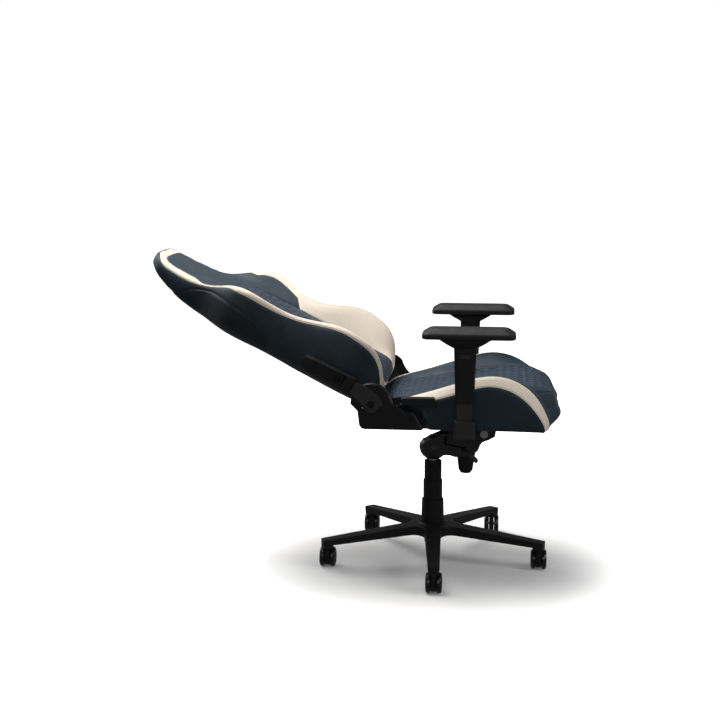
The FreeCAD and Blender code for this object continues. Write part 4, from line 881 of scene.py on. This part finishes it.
def make_seat():
    """The seat's cover, with its seams, quilting and colour areas, painted shade on its sides among them.
    """
    rings, bs = seat_grid()
    obj = grid_mesh("seat_cover", rings)
    count, size = rings.shape[:2]
    half = size // 2
    b = np.tile(bs, count)
    share = np.repeat(np.linspace(0, 1, count), size)
    reach = around(rings, half)
    places = {"from_quilt": 1.0, "from_crest": 2.0, "from_edge": 3.0, "from_hem": 4.0}
    marks = {name: int(np.argmin(np.abs(bs[:half + 1] - place))) for name, place in places.items()}
    for name, column in marks.items():
        write_values(obj, name, (reach - reach[:, column:column + 1]).ravel())
    write_values(obj, "ahead", ahead_of_front_seam(rings).ravel())
    ahead = read_values(obj, "ahead")
    held = np.zeros(len(b), bool)
    for place in places.values():
        held |= np.abs(b - place) < 0.02
    held |= (np.abs(ahead) < 3.0) & (b < 2)
    held |= (b > 4) | (share < 0.02) | (share > 0.98)
    cap = np.select([b < 1, b < 2, b < 3, b < 4], [5.0, 5.0, 2.5, 1.2], 0.5)
    inflate(obj, held, cap)
    base = coordinates(obj).reshape(count, size, 3) / MM
    subdivide(obj)
    quilt, crest, edge, hem, ahead = (read_values(obj, name) for name in
                                      ("from_quilt", "from_crest", "from_edge", "from_hem", "ahead"))
    x, y, _ = coordinates(obj).T / MM
    cream_in = np.minimum(np.minimum(crest + 9.0, -5.0 - edge), x + 170.0)
    depth = 2.6 * groove(quilt, 3.2) * smooth(8, -2, ahead)
    depth += 1.4 * groove(cream_in, 2.2)
    panel = smooth(-2.5, -6.5, quilt) * smooth(-3, -8, ahead) * smooth(-156, -144, x)
    depth += panel * (pillow_depth(x, y, 3.4) - 1.2)
    depth += 3.2 * groove(ahead, 3.4) * smooth(-4, -10, crest)
    press(obj, depth)
    first, second = quilt_axes(x, y)
    write_values(obj, "quilt_first", first)
    write_values(obj, "quilt_second", second)
    write_values(obj, "quilted", np.minimum(np.minimum(-2.5 - quilt, -3.0 - ahead), x + 148.0))
    write_values(obj, "creamy", cream_in)
    # painted shade: the seat's sides beyond their edge are coloured a darker navy for the shade they lie
    # in
    write_values(obj, "shaded", edge + 5.0)
    write_values(obj, "lining", hem - 1.0)
    obj.data.materials.append(leather("upholstery_seat", [
        ("quilted", navy_bright), ("shaded", navy_painted_shade), ("lining", black),
        ("creamy", tint(cream, 1.05))], navy))
    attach(obj, "seat")
    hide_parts("seat_cushion", "seat_dust_cover")
    return obj, base, marks


seat, seat_base, seat_marks = make_seat()


def seat_line(mark, offset, side, first, last):
    """A line along the seat at an offset in mm from one of its marked columns."""
    share = np.linspace(0, 1, len(seat_base))
    offsets = np.where((share > first) & (share < last), offset, np.nan)
    return line_on(seat_base, seat_marks[mark], offsets, side)


def front_seam_line(offset):
    """A line across the nose of the seat, at an offset in mm from the seam."""
    ahead = ahead_of_front_seam(seat_base)
    reach = seat_marks["from_crest"]
    line = []
    for column in range(-reach + 2, reach - 1):
        run = ahead[:, column]
        line.append([np.interp(offset, run, seat_base[:, column, k]) for k in range(3)])
    return line


seat_light, seat_navy = [], []
for side in (-1, 1):
    seat_light.append(seat_line("from_edge", -8.5, side, 0.12, 0.97))
for mark, offset, last in (("from_edge", -1.0, 0.97), ("from_edge", 4.0, 0.97), ("from_quilt", 5.0, 0.72)):
    first = 0.1 if mark == "from_quilt" else 0.12
    seat_navy += [seat_line(mark, offset, side, first, last) for side in (-1, 1)]
seat_navy += [front_seam_line(offset) for offset in (-4.5, 4.5)]
sew(seat, "seat", "seat", seat_light, seat_navy)


# ================================================================ armrest pads
pad_gap = 0.6                                  # between the pad and the plate it slides on


def pad_ring(x0, x1, y0, y1, z, radius, per_corner=7, per_side=12):
    """A rounded rectangle as a ring of points."""
    points = []
    corners = ((x1 - radius, y0 + radius, -90), (x1 - radius, y1 - radius, 0),
               (x0 + radius, y1 - radius, 90), (x0 + radius, y0 + radius, 180))
    for k, (cx, cy, start) in enumerate(corners):
        for j in range(per_corner):
            t = math.radians(start + 90.0 * j / (per_corner - 1))
            points.append((cx + radius * math.cos(t), cy + radius * math.sin(t), z))
        nx, ny, nstart = corners[(k + 1) % 4]
        end = points[-1]
        t = math.radians(nstart)
        nxt = (nx + radius * math.cos(t), ny + radius * math.sin(t), z)
        for j in range(1, per_side):
            s = j / per_side
            points.append(tuple(end[i] + (nxt[i] - end[i]) * s for i in range(3)))
    return points


def make_pad(side):
    """An armrest's pad: bevelled round its top, with a seam line low on its side."""
    low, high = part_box(f"armrest_pad_{side}")
    x0, y0 = low.x / MM, low.y / MM
    x1, y1, z1 = high.x / MM, high.y / MM, high.z / MM
    plate_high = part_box(f"armrest_turntable_{side}")[1]
    z0 = plate_high.z / MM + pad_gap
    outline = [  # inset along, inset across, height above the underside, corner radius
        (34, 30, 0.0, 10), (10, 9, 0.0, 14), (3.0, 2.6, 0.3, 18), (1.0, 0.9, 1.8, 19.5),
        (0, 0, 4.5, 20), (0, 0, 8.5, 20), (0.2, 0.1, 12.0, 20), (1.2, 0.8, 14.6, 20),
        (3.4, 2.6, 16.8, 20), (8.0, 7.0, 19.9, 19), (13.0, 11.8, 23.4, 18), (17.5, 16.0, 26.4, 17),
        (20.0, 18.4, 28.0, 17), (22.5, 20.6, 29.0, 16), (27.0, 24.5, 29.6, 14), (34.0, 30.0, 29.9, 11),
        (46.0, 42.0, 30.0, 5)]
    seam_height = 6.0
    scale = (z1 - z0) / outline[-1][2]
    rings = [pad_ring(x0 + i, x1 - i, y0 + j, y1 - j, z0 + h * scale, r) for i, j, h, r in outline]
    obj = grid_mesh(f"armrest_pad_cover_{side}", np.array(rings))
    subdivide(obj)
    co = coordinates(obj) / MM
    rise = (co[:, 2] - z0) / scale
    press(obj, groove(rise - seam_height, 0.8))
    obj.data.materials.append(slot_materials["pad_soft"])
    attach(obj, f"armrest_{side}_pad")
    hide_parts(f"armrest_pad_{side}")


for side in ("right", "left"):
    make_pad(side)


# ================================================================ stage, light and camera
def make_stage():
    """A pale floor that glows more the further it is from the chair, painted light that fades it into the
    white round it.
    """
    r = 30.0
    floor = simple_mesh("studio_floor", [(-r, -r, 0), (r, -r, 0), (r, r, 0), (-r, r, 0)], [(0, 1, 2, 3)])
    m = Material("studio_floor")
    distance = m.nodes.new("ShaderNodeVectorMath")
    distance.operation = "LENGTH"
    m.link(m.place, distance.inputs[0])
    # painted light: the floor's glow rises from 0.05 near the chair to 1.0 beyond 0.92 m, unseen by
    # diffuse and glossy rays
    far = m.nodes.new("ShaderNodeMapRange")
    far.interpolation_type = "SMOOTHSTEP"
    far.inputs["From Min"].default_value = 0.28
    far.inputs["From Max"].default_value = 0.92
    far.inputs["To Min"].default_value = 0.05
    far.inputs["To Max"].default_value = 1.0
    m.link(distance.outputs["Value"], far.inputs["Value"])
    m.link(far.outputs["Result"], m.shader.inputs["Emission Strength"])
    m.socket("Base Color", (0.9, 0.9, 0.9, 1.0))
    m.socket("Roughness", 1.0)
    m.socket("Specular IOR Level", 0.0)
    m.socket("Emission Color", (1.0, 1.0, 1.0, 1.0))
    floor.data.materials.append(m.material)
    floor.visible_glossy = False
    floor.visible_diffuse = False


def make_world():
    """White where the camera sees it, and a dim grey room for everything else."""
    world = bpy.data.worlds.new("studio")
    world.use_nodes = True
    nodes, links = world.node_tree.nodes, world.node_tree.links
    background = nodes["Background"]
    background.inputs["Color"].default_value = (1.0, 1.0, 1.0, 1.0)
    rays = nodes.new("ShaderNodeLightPath")
    strength = nodes.new("ShaderNodeMapRange")
    strength.inputs["To Min"].default_value = 0.16
    strength.inputs["To Max"].default_value = 1.0
    links.new(rays.outputs["Is Camera Ray"], strength.inputs["Value"])
    links.new(strength.outputs["Result"], background.inputs["Strength"])
    bpy.context.scene.world = world


def area_light(name, place, aim, size, energy, colour=(1.0, 1.0, 1.0)):
    data = bpy.data.lights.new(name, "AREA")
    data.shape = "RECTANGLE"
    data.size, data.size_y = size
    data.energy = energy
    data.color = colour
    light = bpy.data.objects.new(name, data)
    light.location = place
    light.rotation_euler = (Vector(aim) - Vector(place)).to_track_quat("-Z", "Y").to_euler()
    bpy.context.scene.collection.objects.link(light)


def make_camera():
    data = bpy.data.cameras.new("camera")
    data.sensor_width = 36.0
    data.lens = 65.84
    camera = bpy.data.objects.new("camera", data)
    camera.location = (0.198, -3.944, 1.277)
    camera.rotation_euler = (math.radians(90.0 - 9.394), 0.0, math.radians(6.135))
    bpy.context.scene.collection.objects.link(camera)
    bpy.context.scene.camera = camera


make_stage()
area_light("key", (-0.9, 0.4, 3.1), (-0.1, 0.0, 0.4), (2.4, 2.0), 122.0, (1.0, 0.985, 0.96))
area_light("front", (2.8, -1.2, 1.9), (0.0, 0.0, 0.55), (1.4, 1.6), 30.0)
area_light("rear", (-2.4, 1.4, 2.0), (-0.4, 0.0, 0.6), (1.4, 1.6), 22.0)
area_light("fill", (0.2, -4.4, 2.2), (0.0, 0.0, 0.5), (2.4, 1.4), 26.0)
make_world()
bpy.context.scene.view_settings.view_transform = "Standard"
make_camera()
